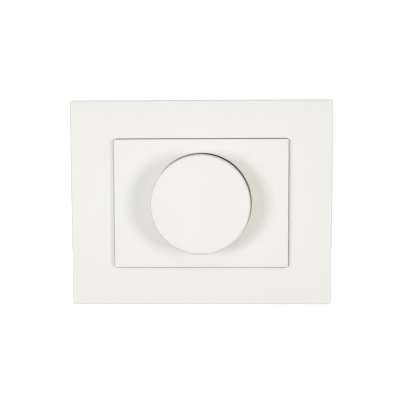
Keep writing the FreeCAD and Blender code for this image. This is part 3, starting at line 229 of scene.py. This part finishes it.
# %% One material from its wires and numbers
def finish_surface(tree, **sockets):
    names = {name.replace("_", " ").title().replace("Ior", "IOR"): source for name, source in sockets.items()}
    surface = tree.add("ShaderNodeBsdfPrincipled", sockets=names)
    tree.add("ShaderNodeOutputMaterial", sockets={"Surface": surface})
    return tree.owner


def new_tree(name):
    return Tree(bpy.data.materials.new(f"{name}_finish"))


def give(material, *names):
    """Puts a material on CAD nodes, in every slot that they have."""
    for name in names:
        mesh = nodes[name].data
        if not mesh.materials:
            mesh.materials.append(material)
        for index in range(len(mesh.materials)):
            mesh.materials[index] = material
    print(f"{material.name}: {', '.join(names)}")
    return material


# %% [markdown]
# ## White moulded plastic
# The frame, the plate and the knob are moulded from one off-white thermoplastic. The mould is finely
# polished with a trace of spark erosion, so the plastic is satin: its highlights are soft and its faces are
# even. A flat colour would look like paper, so the material has a grain too fine to see singly, a slow
# variation in gloss where the melt cooled, and a faint warmth that drifts over the part.
#
# Shade is painted into the groove below the knob's rim, most of all at the upper right, where the gap is
# widest.
# A mask finds it: it lies between two depths behind the plate's face and between two distances from the
# knob's axis, and how far a point lies towards the upper right says how dark the painted shade is.

# %% White plastic
WHITE = (0.874, 0.865, 0.796)
WHITE_WARM = (0.868, 0.856, 0.778)
FINE_GRAIN, HANDLING, SLOW_DRIFT = 0.16, 3.5, 22.0
# painted shade: the dark colour that is painted into the groove below the knob's rim
GROOVE_SHADE = (0.035, 0.03, 0.025)
PLATE_FACE, KNOB_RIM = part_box("centre_plate")[0].y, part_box("knob")[1].x
SHADE_FRONT, SHADE_BACK = PLATE_FACE + 0.15 * MM, PLATE_FACE + 2.0 * MM
SHADE_INSIDE, SHADE_OUTSIDE = KNOB_RIM - 3.0 * MM, KNOB_RIM + 1.0 * MM
WIDEST_GAP = math.radians(60)
UNSHADED_BELOW, FULL_SHADE_ABOVE = 0.60, 0.97


def painted_groove_shade(tree):
    """How much painted shade a point gets: 0 outside the groove, and up to 1 where its gap is widest."""
    x, y, z = split(tree, place_on_object(tree))
    squared_distance = x * x + z * z
    ring = (squared_distance > SHADE_INSIDE ** 2) * (squared_distance < SHADE_OUTSIDE ** 2)
    towards = (x * math.cos(WIDEST_GAP) + z * math.sin(WIDEST_GAP)) * (1 / KNOB_RIM)
    amount = ramp(tree, towards, (UNSHADED_BELOW, 0.0), (FULL_SHADE_ABOVE, 1.0))
    return ring * (y > SHADE_FRONT) * (y < SHADE_BACK) * amount


def white_plastic():
    tree = new_tree("white_plastic")
    grain, drift = clouds(tree, FINE_GRAIN, 3.0), clouds(tree, SLOW_DRIFT)
    handling = clouds(tree, HANDLING, 4.0)
    unshaded_white = mixed(tree, ramp(tree, drift, (0.35, 0.0), (0.7, 1.0)), rgba(WHITE), rgba(WHITE_WARM))
    # painted shade: the groove behind the knob's rim is darkened, most of all towards the upper right
    color = mixed(tree, painted_groove_shade(tree), unshaded_white, rgba(GROOVE_SHADE))
    roughness = 0.36 + (handling - 0.5) * 0.10 + (grain - 0.5) * 0.06
    slow = bumps(tree, drift, 0.02)
    normal = bumps(tree, grain, 0.0035, slow)
    return finish_surface(
        tree, base_color=color, roughness=roughness, normal=normal, ior=1.49, specular_ior_level=0.42
    )


give(white_plastic(), "outer_frame", "centre_plate", "knob")

# %% [markdown]
# ## Sheet and turned metal
# The support plate and claws are zinc-plated steel, the screws have a yellowish passivated zinc, the nuts
# and bush are nickel on brass, and the shaft is bright aluminium. They differ in colour, in gloss, in the
# direction and size of their marks and in the size of the plating's clouds, so one function takes those.

# %% Metals
ALONG_X, ALONG_Z, TURNED, NO_WAY = (0.06, 1, 1), (1, 1, 0.06), (1, 0.04, 1), (1, 1, 1)


def metal(name, color, cloud, roughness, marks, mark_mm=0.12, cloud_mm=4.0):
    """A metal whose plating drifts from one colour to another and whose tool marks run one way."""
    tree = new_tree(name)
    plating = clouds(tree, cloud_mm, 5.0, roughness=0.6)
    drawn = clouds(tree, mark_mm, 3.0, marks)
    pitting = clouds(tree, mark_mm * 4, 6.0)
    tone = mixed(tree, ramp(tree, plating, (0.35, 0.0), (0.68, 1.0)), rgba(color), rgba(cloud))
    gloss = roughness + (plating - 0.5) * 0.10 + (drawn - 0.5) * 0.16
    normal = bumps(tree, drawn + pitting * 0.6, 0.006)
    return finish_surface(tree, base_color=tone, roughness=gloss, metallic=1.0, normal=normal)


give(metal("zinc_steel", (0.66, 0.67, 0.70), (0.70, 0.70, 0.71), 0.36, ALONG_Z, 0.14, 7.0),
     "support_plate", "claw_pins", "claw_left", "claw_right")
SCREW_STEEL = give(metal("screw_steel", (0.62, 0.56, 0.40), (0.60, 0.60, 0.55), 0.30, NO_WAY, 0.2, 1.4),
                   "claw_screws", "housing_screws", "terminal_screws", "triac_screw", "triac_nut")
NICKEL_BRASS = give(metal("nickel_brass", (0.70, 0.64, 0.52), (0.74, 0.70, 0.62), 0.24, TURNED, 0.2),
                    "bush", "fixing_nut", "cover_nut")
give(metal("shaft_metal", (0.76, 0.76, 0.77), (0.80, 0.80, 0.80), 0.28, TURNED, 0.15), "shaft")
SPRING_STEEL = give(metal("spring_steel", (0.52, 0.52, 0.51), (0.60, 0.58, 0.54), 0.26, ALONG_X, 0.08, 1.0),
                    "knob_clip", "switch_spring")
give(metal("pot_metal", (0.58, 0.58, 0.59), (0.64, 0.63, 0.60), 0.30, ALONG_X, 0.1), "pot_can")
give(metal("contact_metal", (0.80, 0.50, 0.32), (0.74, 0.56, 0.40), 0.28, ALONG_X, 0.1, 1.5),
     "wiper", "moving_contact", "fixed_contacts")
give(metal("terminal_brass", (0.74, 0.58, 0.28), (0.66, 0.52, 0.27), 0.30, ALONG_X, 0.12, 2.0),
     "terminal_cages", "terminal_bars")
give(metal("fuse_metal", (0.72, 0.71, 0.67), (0.62, 0.62, 0.60), 0.22, ALONG_Z, 0.1, 1.5),
     "fuse_caps", "fuse_clips")

# %% [markdown]
# ## Moulded and sawn insulators
# The housing is a grey thermoset with a coarser mould texture and faint flow lines from its gate. The
# switch case, rotor and triac are black, the slider is natural nylon, the potentiometer's base is
# phenolic paper, and the pad under the triac is silicone rubber. All are one recipe with other numbers: a
# body colour, a speckle, a grain and a gloss.

# %% Insulators
def insulator(name, color, speckle, roughness, grain_mm, depth_mm, speckle_mm=0.6, **constants):
    tree = new_tree(name)
    grain, flow = clouds(tree, grain_mm, 4.0), clouds(tree, 9.0, 3.0, (1, 1, 0.25))
    fleck = ramp(tree, clouds(tree, speckle_mm, 6.0, roughness=0.7), (0.52, 0.0), (0.66, 1.0))
    tone = mixed(tree, fleck, rgba(color), rgba(speckle))
    gloss = roughness + (flow - 0.5) * 0.18 + (grain - 0.5) * 0.08
    normal = bumps(tree, grain + flow * 0.5, depth_mm)
    return finish_surface(tree, base_color=tone, roughness=gloss, normal=normal, **constants)


give(insulator("grey_plastic", (0.60, 0.61, 0.62), (0.57, 0.58, 0.60), 0.50, 0.28, 0.02),
     "housing", "housing_lid")
give(insulator("black_plastic", (0.035, 0.035, 0.038), (0.055, 0.055, 0.058), 0.48, 0.18, 0.012),
     "rotor", "switch_case", "triac")
give(insulator("white_slider", (0.78, 0.76, 0.69), (0.82, 0.80, 0.75), 0.42, 0.3, 0.008), "switch_slider")
give(insulator("phenolic", (0.30, 0.15, 0.06), (0.40, 0.22, 0.10), 0.46, 0.2, 0.01, 0.25), "pot_base")
give(insulator("carbon_track", (0.018, 0.018, 0.020), (0.040, 0.040, 0.042), 0.55, 0.08, 0.006, 0.12),
     "resistance_track")
give(insulator("pad_rubber", (0.50, 0.56, 0.58), (0.60, 0.64, 0.65), 0.62, 0.25, 0.02, 0.3), "insulating_pad")
give(insulator("ferrite", (0.10, 0.27, 0.21), (0.06, 0.19, 0.15), 0.38, 0.35, 0.02, 0.5), "choke_core")
give(insulator("film_case", (0.80, 0.60, 0.08), (0.74, 0.54, 0.06), 0.24, 0.5, 0.006), "film_capacitor")
give(insulator("red_case", (0.50, 0.07, 0.04), (0.44, 0.05, 0.03), 0.22, 0.9, 0.03), "timing_capacitor")

# %% [markdown]
# ## The circuit board
# The board is glass cloth in resin under green solder mask. Two things give it away: the weave of the
# cloth, which shows through as a fine raised net, and the copper tracks, which lie under the mask as
# paler, slightly raised lines. The weave is two crossed waves, and the tracks are the joints of a brick
# pattern.

# %% Board
TRACK_WIDTH, TRACK_STEP, TRACK_RUN = 0.32, 2.3, 4.6
WEAVE_SCALE = 900.0
SOLDER_MASK, MASK_ON_WEAVE, MASK_ON_COPPER = (0.035, 0.16, 0.065), (0.045, 0.19, 0.08), (0.10, 0.30, 0.12)


def crossed_waves(tree, place):
    """The cloth's net: high where a warp thread and a weft thread are both high."""
    waves = [
        tree.add("ShaderNodeTexWave", {"bands_direction": way}, {"Vector": place, "Scale": WEAVE_SCALE})
        for way in ("X", "Z")
    ]
    warp, weft = (tree.add("ShaderNodeSeparateColor", sockets={"Color": wave}) for wave in waves)
    return warp * weft


def copper_tracks(tree, place):
    x, _, z = split(tree, place)
    flat = tree.add("ShaderNodeCombineXYZ", sockets={"X": x, "Y": z, "Z": 0.0})
    spacing = {"Mortar Size": TRACK_WIDTH * MM, "Brick Width": TRACK_RUN * MM, "Row Height": TRACK_STEP * MM}
    sockets = {"Vector": flat, "Scale": 1.0, "Mortar Smooth": 0.2, **spacing}
    return tree.add("ShaderNodeTexBrick", sockets=sockets, output=1)


def board_laminate():
    tree = new_tree("board_laminate")
    place = place_on_object(tree)
    tracks, weave = copper_tracks(tree, place), crossed_waves(tree, place)
    cloth = mixed(tree, weave, rgba(SOLDER_MASK), rgba(MASK_ON_WEAVE))
    tone = mixed(tree, tracks, cloth, rgba(MASK_ON_COPPER))
    normal = bumps(tree, tracks + weave * 0.2, 0.03)
    roughness = 0.30 + clouds(tree, 3.0, 4.0) * 0.12
    return finish_surface(tree, base_color=tone, roughness=roughness, normal=normal)


give(board_laminate(), "circuit_board")

# %% [markdown]
# ## Banded parts
# The resistors and the trigger diode carry coloured rings and bare tinned leads in one piece. The rings
# are cut out of the distance from the middle of the part, measured along it, by comparing it with two
# numbers, and the same distance tells where the body stops and the bright lead begins.

# %% Resistors and diode
TIN = (0.66, 0.66, 0.64)


def banded(name, body, fleck, middle_mm, half_mm, bands, roughness):
    """A round part lying along X. Each band is (start, end, color), in mm from the part's middle."""
    tree = new_tree(name)
    x = split(tree, place_on_object(tree))[0]
    aside = tree.add("ShaderNodeMath", {"operation": "ABSOLUTE"}, {0: x})
    along = aside * (1 / MM) - middle_mm
    ends = tree.add("ShaderNodeMath", {"operation": "ABSOLUTE"}, {0: along}) > half_mm
    speckle = clouds(tree, 0.3, 4.0)
    tone = mixed(tree, speckle, rgba(body), rgba(fleck))
    for start, end, color in bands:
        tone = mixed(tree, (along > start) * (along < end), tone, rgba(color))
    tone = mixed(tree, ends, tone, rgba(TIN))
    gloss = roughness + (speckle - 0.5) * 0.1
    normal = bumps(tree, speckle, 0.01)
    return finish_surface(tree, base_color=tone, roughness=gloss, metallic=ends, normal=normal)


BROWN, BLACK, ORANGE, GOLD = (0.20, 0.06, 0.02), (0.01, 0.01, 0.01), (0.75, 0.20, 0.02), (0.60, 0.42, 0.12)
RINGS = [(-2.3, -1.7, BROWN), (-1.2, -0.6, BLACK), (-0.1, 0.5, ORANGE), (1.7, 2.3, GOLD)]
DIAC_RING = [(0.7, 1.2, BLACK)]
RESISTOR_ASIDE, HALF_RESISTOR, HALF_DIAC = 7.5, 3.15, 1.9
TAN, DARK_TAN = (0.66, 0.53, 0.35), (0.60, 0.47, 0.30)
BLUE, DARK_BLUE = (0.06, 0.16, 0.50), (0.04, 0.12, 0.42)
give(banded("resistor_body", DARK_TAN, TAN, RESISTOR_ASIDE, HALF_RESISTOR, RINGS, 0.35), "resistors")
give(banded("diac_glass", DARK_BLUE, BLUE, 0.0, HALF_DIAC, DIAC_RING, 0.12), "diac")

# %% [markdown]
# ## Glass and enamelled wire
# The fuse is a glass tube, so light goes through it: its shader transmits, and only smears on the glass
# vary. The choke's wire is copper under clear enamel, which is a metal with a coat.

# %% Fuse tube and copper wire
def fuse_tube():
    tree = new_tree("fuse_tube")
    smears = clouds(tree, 2.0, 5.0, ALONG_Z)
    roughness = 0.02 + smears * 0.06
    return finish_surface(
        tree, base_color=rgba((0.93, 0.96, 0.95)), roughness=roughness, transmission_weight=1.0, ior=1.47
    )


def copper_wire():
    tree = new_tree("copper_wire")
    drawn, tarnish = clouds(tree, 0.15, 3.0), clouds(tree, 1.8, 4.0)
    tone = mixed(tree, tarnish, rgba((0.72, 0.30, 0.12)), rgba((0.58, 0.22, 0.08)))
    return finish_surface(
        tree, base_color=tone, roughness=0.2 + drawn * 0.12, metallic=1.0,
        normal=bumps(tree, drawn, 0.004), coat_weight=0.6, coat_roughness=0.1,
    )


give(fuse_tube(), "fuse_glass")
COPPER = copper_wire()

# %% [markdown]
# ## How a new piece joins the object
# A piece made here follows a body of the model. One helper does that, and gives it its
# material.

# %% Fit a new piece
def fit(piece, body, material):
    piece.data.materials.append(material)
    scene.collection.objects.link(piece)
    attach(piece, body)
    print("piece", piece.name, "on", body)
    return piece


def wire_curve(name, runs, radius_mm, sides=3):
    """A round wire along each run of points, in mm."""
    curve = bpy.data.curves.new(name, "CURVE")
    curve.dimensions = "3D"
    curve.bevel_depth, curve.bevel_resolution, curve.use_fill_caps = radius_mm * MM, sides, True
    for run in runs:
        spline = curve.splines.new("POLY")
        spline.points.add(len(run) - 1)
        for point, place in zip(spline.points, run):
            point.co = (*(Vector(place) * MM), 1.0)
    return bpy.data.objects.new(name, curve)

# %% [markdown]
# ## The choke's winding
# The choke is a ring of ferrite with one layer of enamelled wire wound through it. The model has only
# the space that the wire fills. Here the turns are laid one by one: the wire goes round the ring's
# section, which is a rounded rectangle, while it creeps along the ring, so each turn leans a little, and
# the inner side is packed tighter than the outer one, as on the real coil.

# %% Wind the choke
CORE_LOW, CORE_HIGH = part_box("choke_core")
CORE_MIDDLE = (CORE_LOW + CORE_HIGH) / 2 / MM
CORE_OUTER = (CORE_HIGH.x - CORE_LOW.x) / 2 / MM
CORE_INNER, WIRE_RADIUS, WIRE_CLEARANCE, TURNS, STEPS = 3.2, 0.38, 0.04, 19, 22
WINDING_ARC = math.radians(318)
ROUNDNESS = 0.42  # 1 makes the section an ellipse, and near 0 it is a sharp rectangle


def winding_run():
    half_y = (CORE_HIGH.y - CORE_LOW.y) / 2 / MM + WIRE_RADIUS + WIRE_CLEARANCE
    half_r = (CORE_OUTER - CORE_INNER) / 2 + WIRE_RADIUS + WIRE_CLEARANCE
    middle_r = (CORE_OUTER + CORE_INNER) / 2
    run = []
    for step in range(TURNS * STEPS + 1):
        turn = math.tau * step / STEPS
        around = WINDING_ARC * (step / (TURNS * STEPS) - 0.5) - math.pi / 2
        out, up = math.cos(turn), math.sin(turn)
        reach = middle_r + half_r * math.copysign(abs(out) ** ROUNDNESS, out)
        height = half_y * math.copysign(abs(up) ** ROUNDNESS, up)
        run.append(CORE_MIDDLE + Vector((reach * math.cos(around), height, reach * math.sin(around))))
    return run


winding = wire_curve("choke_turns", [winding_run()], WIRE_RADIUS)
fit(winding, "insert", COPPER)
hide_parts("choke_winding")
print("turns of wire:", TURNS)

# %% [markdown]
# ## The switch's spring
# The knob is pushed against a small coil spring at the back of the switch. The model's spring is stiff, so
# the slider would cut into it. A spring wound here takes its place, and it keeps its length when the knob
# is pushed. A real compression spring has its end turns laid flat, so the rise of the wire starts and
# stops gently.

# %% Wind the spring
SPRING_LOW, SPRING_HIGH = (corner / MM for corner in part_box("switch_spring"))
SPRING_MIDDLE = (SPRING_LOW + SPRING_HIGH) / 2
SPRING_LENGTH = SPRING_HIGH.y - SPRING_LOW.y
SPRING_WIRE, SPRING_TURNS, LAID_FLAT = 0.3, 7, 0.6
SPRING_RADIUS = (SPRING_HIGH.x - SPRING_LOW.x) / 2 - SPRING_WIRE
PUSH_TRAVEL = next(joint["range_m"][1] for joint in frame["joints"] if joint["name"] == "knob_push") / MM


def spring_run(steps=28):
    rise = SPRING_LENGTH - 2 * SPRING_WIRE
    run = []
    for step in range(SPRING_TURNS * steps + 1):
        turn, share = math.tau * step / steps, step / (SPRING_TURNS * steps)
        climbed = share - LAID_FLAT * math.sin(math.tau * share) / math.tau
        run.append(Vector((SPRING_MIDDLE.x + SPRING_RADIUS * math.cos(turn),
                           SPRING_LOW.y + SPRING_WIRE + rise * climbed,
                           SPRING_MIDDLE.z + SPRING_RADIUS * math.sin(turn))))
    return run


wound = bpy.data.meshes.new_from_object(wire_curve("spring_wire", [spring_run()], SPRING_WIRE))
wound.materials.clear()
coil = fit(bpy.data.objects.new("switch_coil", wound), "insert", SPRING_STEEL)
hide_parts("switch_spring")
1 - PUSH_TRAVEL / SPRING_LENGTH
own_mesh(coil)
print("spring:", round(SPRING_LENGTH, 2), "mm long, pushed in by up to", round(PUSH_TRAVEL, 2), "mm")

# %% [markdown]
# ## Threads
# A smooth rod reads as a pin, not as a screw. A thread is one ridge that climbs round the rod. The ridge
# is a curve with a small four-sided section, which is quicker than cutting a thread and looks the
# same from outside, because only its crest catches the light.

# %% Threads on the screws and the bush
def helix(x, z, radius, front, back, pitch, steps=24):
    count = int((back - front) / pitch * steps)
    return [
        Vector((x + radius * math.cos(math.tau * i / steps), front + pitch * i / steps,
                z + radius * math.sin(math.tau * i / steps)))
        for i in range(count + 1)
    ]


RIDGE = 0.24  # the ridge's half width, as a share of the pitch


def thread(name, places, radius, front, back, pitch, material):
    ridge = wire_curve(name, [helix(x, z, radius, front, back, pitch) for x, z in places], pitch * RIDGE, 0)
    fit(ridge, "insert", material)


CLAW_SCREWS, CLAW_SCREW_RADIUS, CLAW_SCREW_PITCH = [(23.2, -7.6), (-23.2, 7.6)], 1.44, 0.7
CLAW_THREAD_FRONT, CLAW_THREAD_BACK = 0.6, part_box("claw_screws")[1].y / MM - 0.4
BUSH, BUSH_RADIUS, BUSH_PITCH = [(0, 0)], 4.93, 0.75
BUSH_THREAD_FRONT, BUSH_THREAD_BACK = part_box("bush")[0].y / MM + 0.6, -1.4
thread("claw_screw_threads", CLAW_SCREWS, CLAW_SCREW_RADIUS, CLAW_THREAD_FRONT, CLAW_THREAD_BACK,
       CLAW_SCREW_PITCH, SCREW_STEEL)
thread("bush_thread", BUSH, BUSH_RADIUS, BUSH_THREAD_FRONT, BUSH_THREAD_BACK,
       BUSH_PITCH, NICKEL_BRASS)

# %% [markdown]
# ## Solder
# Every lead that goes through the board ends in a cone of solder round a clipped pin. The cone is a
# turned profile, concave where the solder has wetted the lead, and one mesh holds them all. The leads are
# listed part by part: the part's middle, and how far each of its leads is to the left or right of it.

# %% Solder joints on the back of the board
BOARD_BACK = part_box("circuit_board")[1].y / MM
RESISTOR_LEADS, DIAC_LEADS = (-4.4, 4.4), (-3.2, 3.2)
CAPACITOR_LEADS, TRIAC_LEGS = (-2.5, 2.5), (-2.54, 0, 2.54)
SOLDERED = {
    "left resistor": (-RESISTOR_ASIDE, -13.3, RESISTOR_LEADS),
    "right resistor": (RESISTOR_ASIDE, -13.3, RESISTOR_LEADS),
    "lower resistor": (RESISTOR_ASIDE, -16.4, RESISTOR_LEADS),
    "diac": (0.0, -10.4, DIAC_LEADS),
    "triac": (13.8, -1.7, TRIAC_LEGS),
    "timing capacitor": (-7.5, -16.4, CAPACITOR_LEADS),
}
JOINTS = [(x + lead, z) for x, z, leads in SOLDERED.values() for lead in leads]
CONE = [(0.0, 1.25), (0.3, 1.2), (0.34, 0.75), (0.5, 0.38), (0.82, 0.12), (0.95, 0.0)]


def turned_profile(name, places, profile, base_y, steps=16):
    """Turns (radius, height) pairs about Y at each (x, z), in mm, standing on the plane base_y."""
    mesh, form = bpy.data.meshes.new(name), bmesh.new()
    for x, z in places:
        rings = [
            [form.verts.new(Vector((x + radius * math.cos(math.tau * i / steps), base_y + height,
                                    z + radius * math.sin(math.tau * i / steps))) * MM) for i in range(steps)]
            for radius, height in profile if radius > 0
        ]
        tip = form.verts.new(Vector((x, base_y + profile[0][1], z)) * MM)
        for i in range(steps):
            after = (i + 1) % steps
            form.faces.new((tip, rings[0][i], rings[0][after]))
            for one, two in zip(rings, rings[1:]):
                form.faces.new((one[i], two[i], two[after], one[after]))
        form.faces.new(rings[-1])
    bmesh.ops.recalc_face_normals(form, faces=form.faces)
    form.to_mesh(mesh)
    form.free()
    mesh.shade_smooth()
    return bpy.data.objects.new(name, mesh)


SOLDER = metal("solder", (0.62, 0.62, 0.63), (0.70, 0.70, 0.70), 0.24, NO_WAY, 0.25, 0.8)
solder = turned_profile("solder_joints", JOINTS, CONE, BOARD_BACK)
fit(solder, "insert", SOLDER)
print("solder joints:", len(JOINTS))

# %% [markdown]
# ## The fuse's wire
# Through the glass one sees the fine wire that melts, strung from cap to cap with a slight sag.

# %% String the fuse
FUSE_LOW, FUSE_HIGH = (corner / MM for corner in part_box("fuse_glass"))
FUSE_MIDDLE = (FUSE_LOW + FUSE_HIGH) / 2
FUSE_WIRE, FUSE_SAG, FUSE_END_GAPS = 0.09, 0.5, 0.4


def fuse_run(count=24):
    length = FUSE_HIGH.z - FUSE_LOW.z - FUSE_END_GAPS
    return [
        Vector((FUSE_MIDDLE.x, FUSE_MIDDLE.y + FUSE_SAG * math.sin(math.pi * i / count),
                FUSE_MIDDLE.z + length * (i / count - 0.5)))
        for i in range(count + 1)
    ]


fit(wire_curve("fuse_wire", [fuse_run()], FUSE_WIRE), "insert", SOLDER)

# %% [markdown]
# ## The studio
# White things on white are lit softly from the front, with a strong softbox at each side, so that a round
# knob throws a faint shadow to the left and to the right. How far round a softbox stands sets how far its
# shadow reaches, and its width sets how soft the shadow's end is. A weak softbox in front and a weaker one
# above even the faces out. Three more behind the wall plane show the back. The world adds an even light,
# and shows as plain white. Colours go to the screen as they are, with no film curve.

# %% Softboxes
scene.view_settings.view_transform = "Standard"
scene.view_settings.look = "None"
scene.view_settings.exposure = 0.0
scene.view_settings.gamma = 1.0


def softbox(name, place, size, power, color=(1, 1, 1)):
    data = bpy.data.lights.new(name, "AREA")
    data.shape, data.energy, data.color = "RECTANGLE", power, color
    data.size, data.size_y = size
    light = bpy.data.objects.new(name, data)
    light.location = place
    light.rotation_euler = (-Vector(place)).to_track_quat("-Z", "Y").to_euler()
    light.visible_camera = False
    scene.collection.objects.link(light)


def beside(angle, distance):
    """A place at knob height, angle degrees round from straight in front."""
    turn = math.radians(angle)
    return distance * math.sin(turn), -distance * math.cos(turn), 0.0


COOL_RIGHT, COOL_LEFT = (0.92, 0.90, 1.0), (0.82, 0.84, 1.0)
WARM, FAINTLY_WARM = (1.0, 0.995, 0.88), (1.0, 0.998, 0.94)
softbox("right_softbox", beside(38.5, 0.8), (0.19, 0.24), 1.85, COOL_RIGHT)
softbox("left_softbox", beside(-31.8, 0.8), (0.25, 0.24), 2.3, COOL_LEFT)
softbox("front_softbox", (0.0, -0.9, -0.02), (0.30, 0.24), 0.70, WARM)
softbox("top_softbox", (0.0, -0.60, 0.38), (0.4, 0.14), 0.2, FAINTLY_WARM)
softbox("back_right_softbox", (0.40, 0.80, 0.30), (0.45, 0.45), 2.7)
softbox("back_left_softbox", (-0.44, 0.78, 0.22), (0.45, 0.45), 1.8)
softbox("back_softbox", (-0.1, 0.85, 0.3), (0.5, 0.3), 1.3)

# %% World
FILL, WHITE_SKY = 0.405, 1.05


def studio_world():
    world = bpy.data.worlds.new("studio")
    scene.world = world
    tree = Tree(world)
    seen = tree.add("ShaderNodeLightPath")
    strength = FILL + seen * (WHITE_SKY - FILL)
    color = mixed(tree, seen, rgba(FAINTLY_WARM), rgba((1, 1, 1)))
    sky = tree.add("ShaderNodeBackground", sockets={"Color": color, "Strength": strength})
    tree.add("ShaderNodeOutputWorld", sockets={"Surface": sky})


studio_world()

# %% [markdown]
# ## The floor
# The floor is a plain pale sheet well below the object. It is bright enough to run into the white
# behind it, and it neither lights nor darkens the object. Seen from below it is clear, so that the
# object's underside can be looked at.

# %% Floor
FLOOR_DEPTH, FLOOR_REACH, FLOOR_GLOW, FLOOR_SHADE_MM = 0.12, 3.0, 0.85, 400.0


def pale_floor():
    mesh, form = bpy.data.meshes.new("floor"), bmesh.new()
    bmesh.ops.create_circle(form, cap_ends=True, segments=96, radius=FLOOR_REACH)
    form.to_mesh(mesh)
    form.free()
    floor = bpy.data.objects.new("floor", mesh)
    floor.location.z = -FLOOR_DEPTH
    tree = new_tree("floor")
    shade = clouds(tree, FLOOR_SHADE_MM, 2.0)
    tone = mixed(tree, shade, rgba((0.86, 0.86, 0.86)), rgba((0.90, 0.90, 0.90)))
    glow = {"Emission Color": rgba((1, 1, 1)), "Emission Strength": FLOOR_GLOW}
    sheet = tree.add("ShaderNodeBsdfPrincipled", sockets={"Base Color": tone, "Roughness": 0.9, **glow})
    underside = tree.add("ShaderNodeNewGeometry", output="Backfacing")
    nothing = tree.add("ShaderNodeBsdfTransparent")
    seen = tree.add("ShaderNodeMixShader", sockets={0: underside, 1: sheet, 2: nothing})
    tree.add("ShaderNodeOutputMaterial", sockets={"Surface": seen})
    floor.data.materials.append(tree.owner)
    scene.collection.objects.link(floor)
    floor.visible_diffuse = floor.visible_glossy = floor.visible_shadow = False


pale_floor()
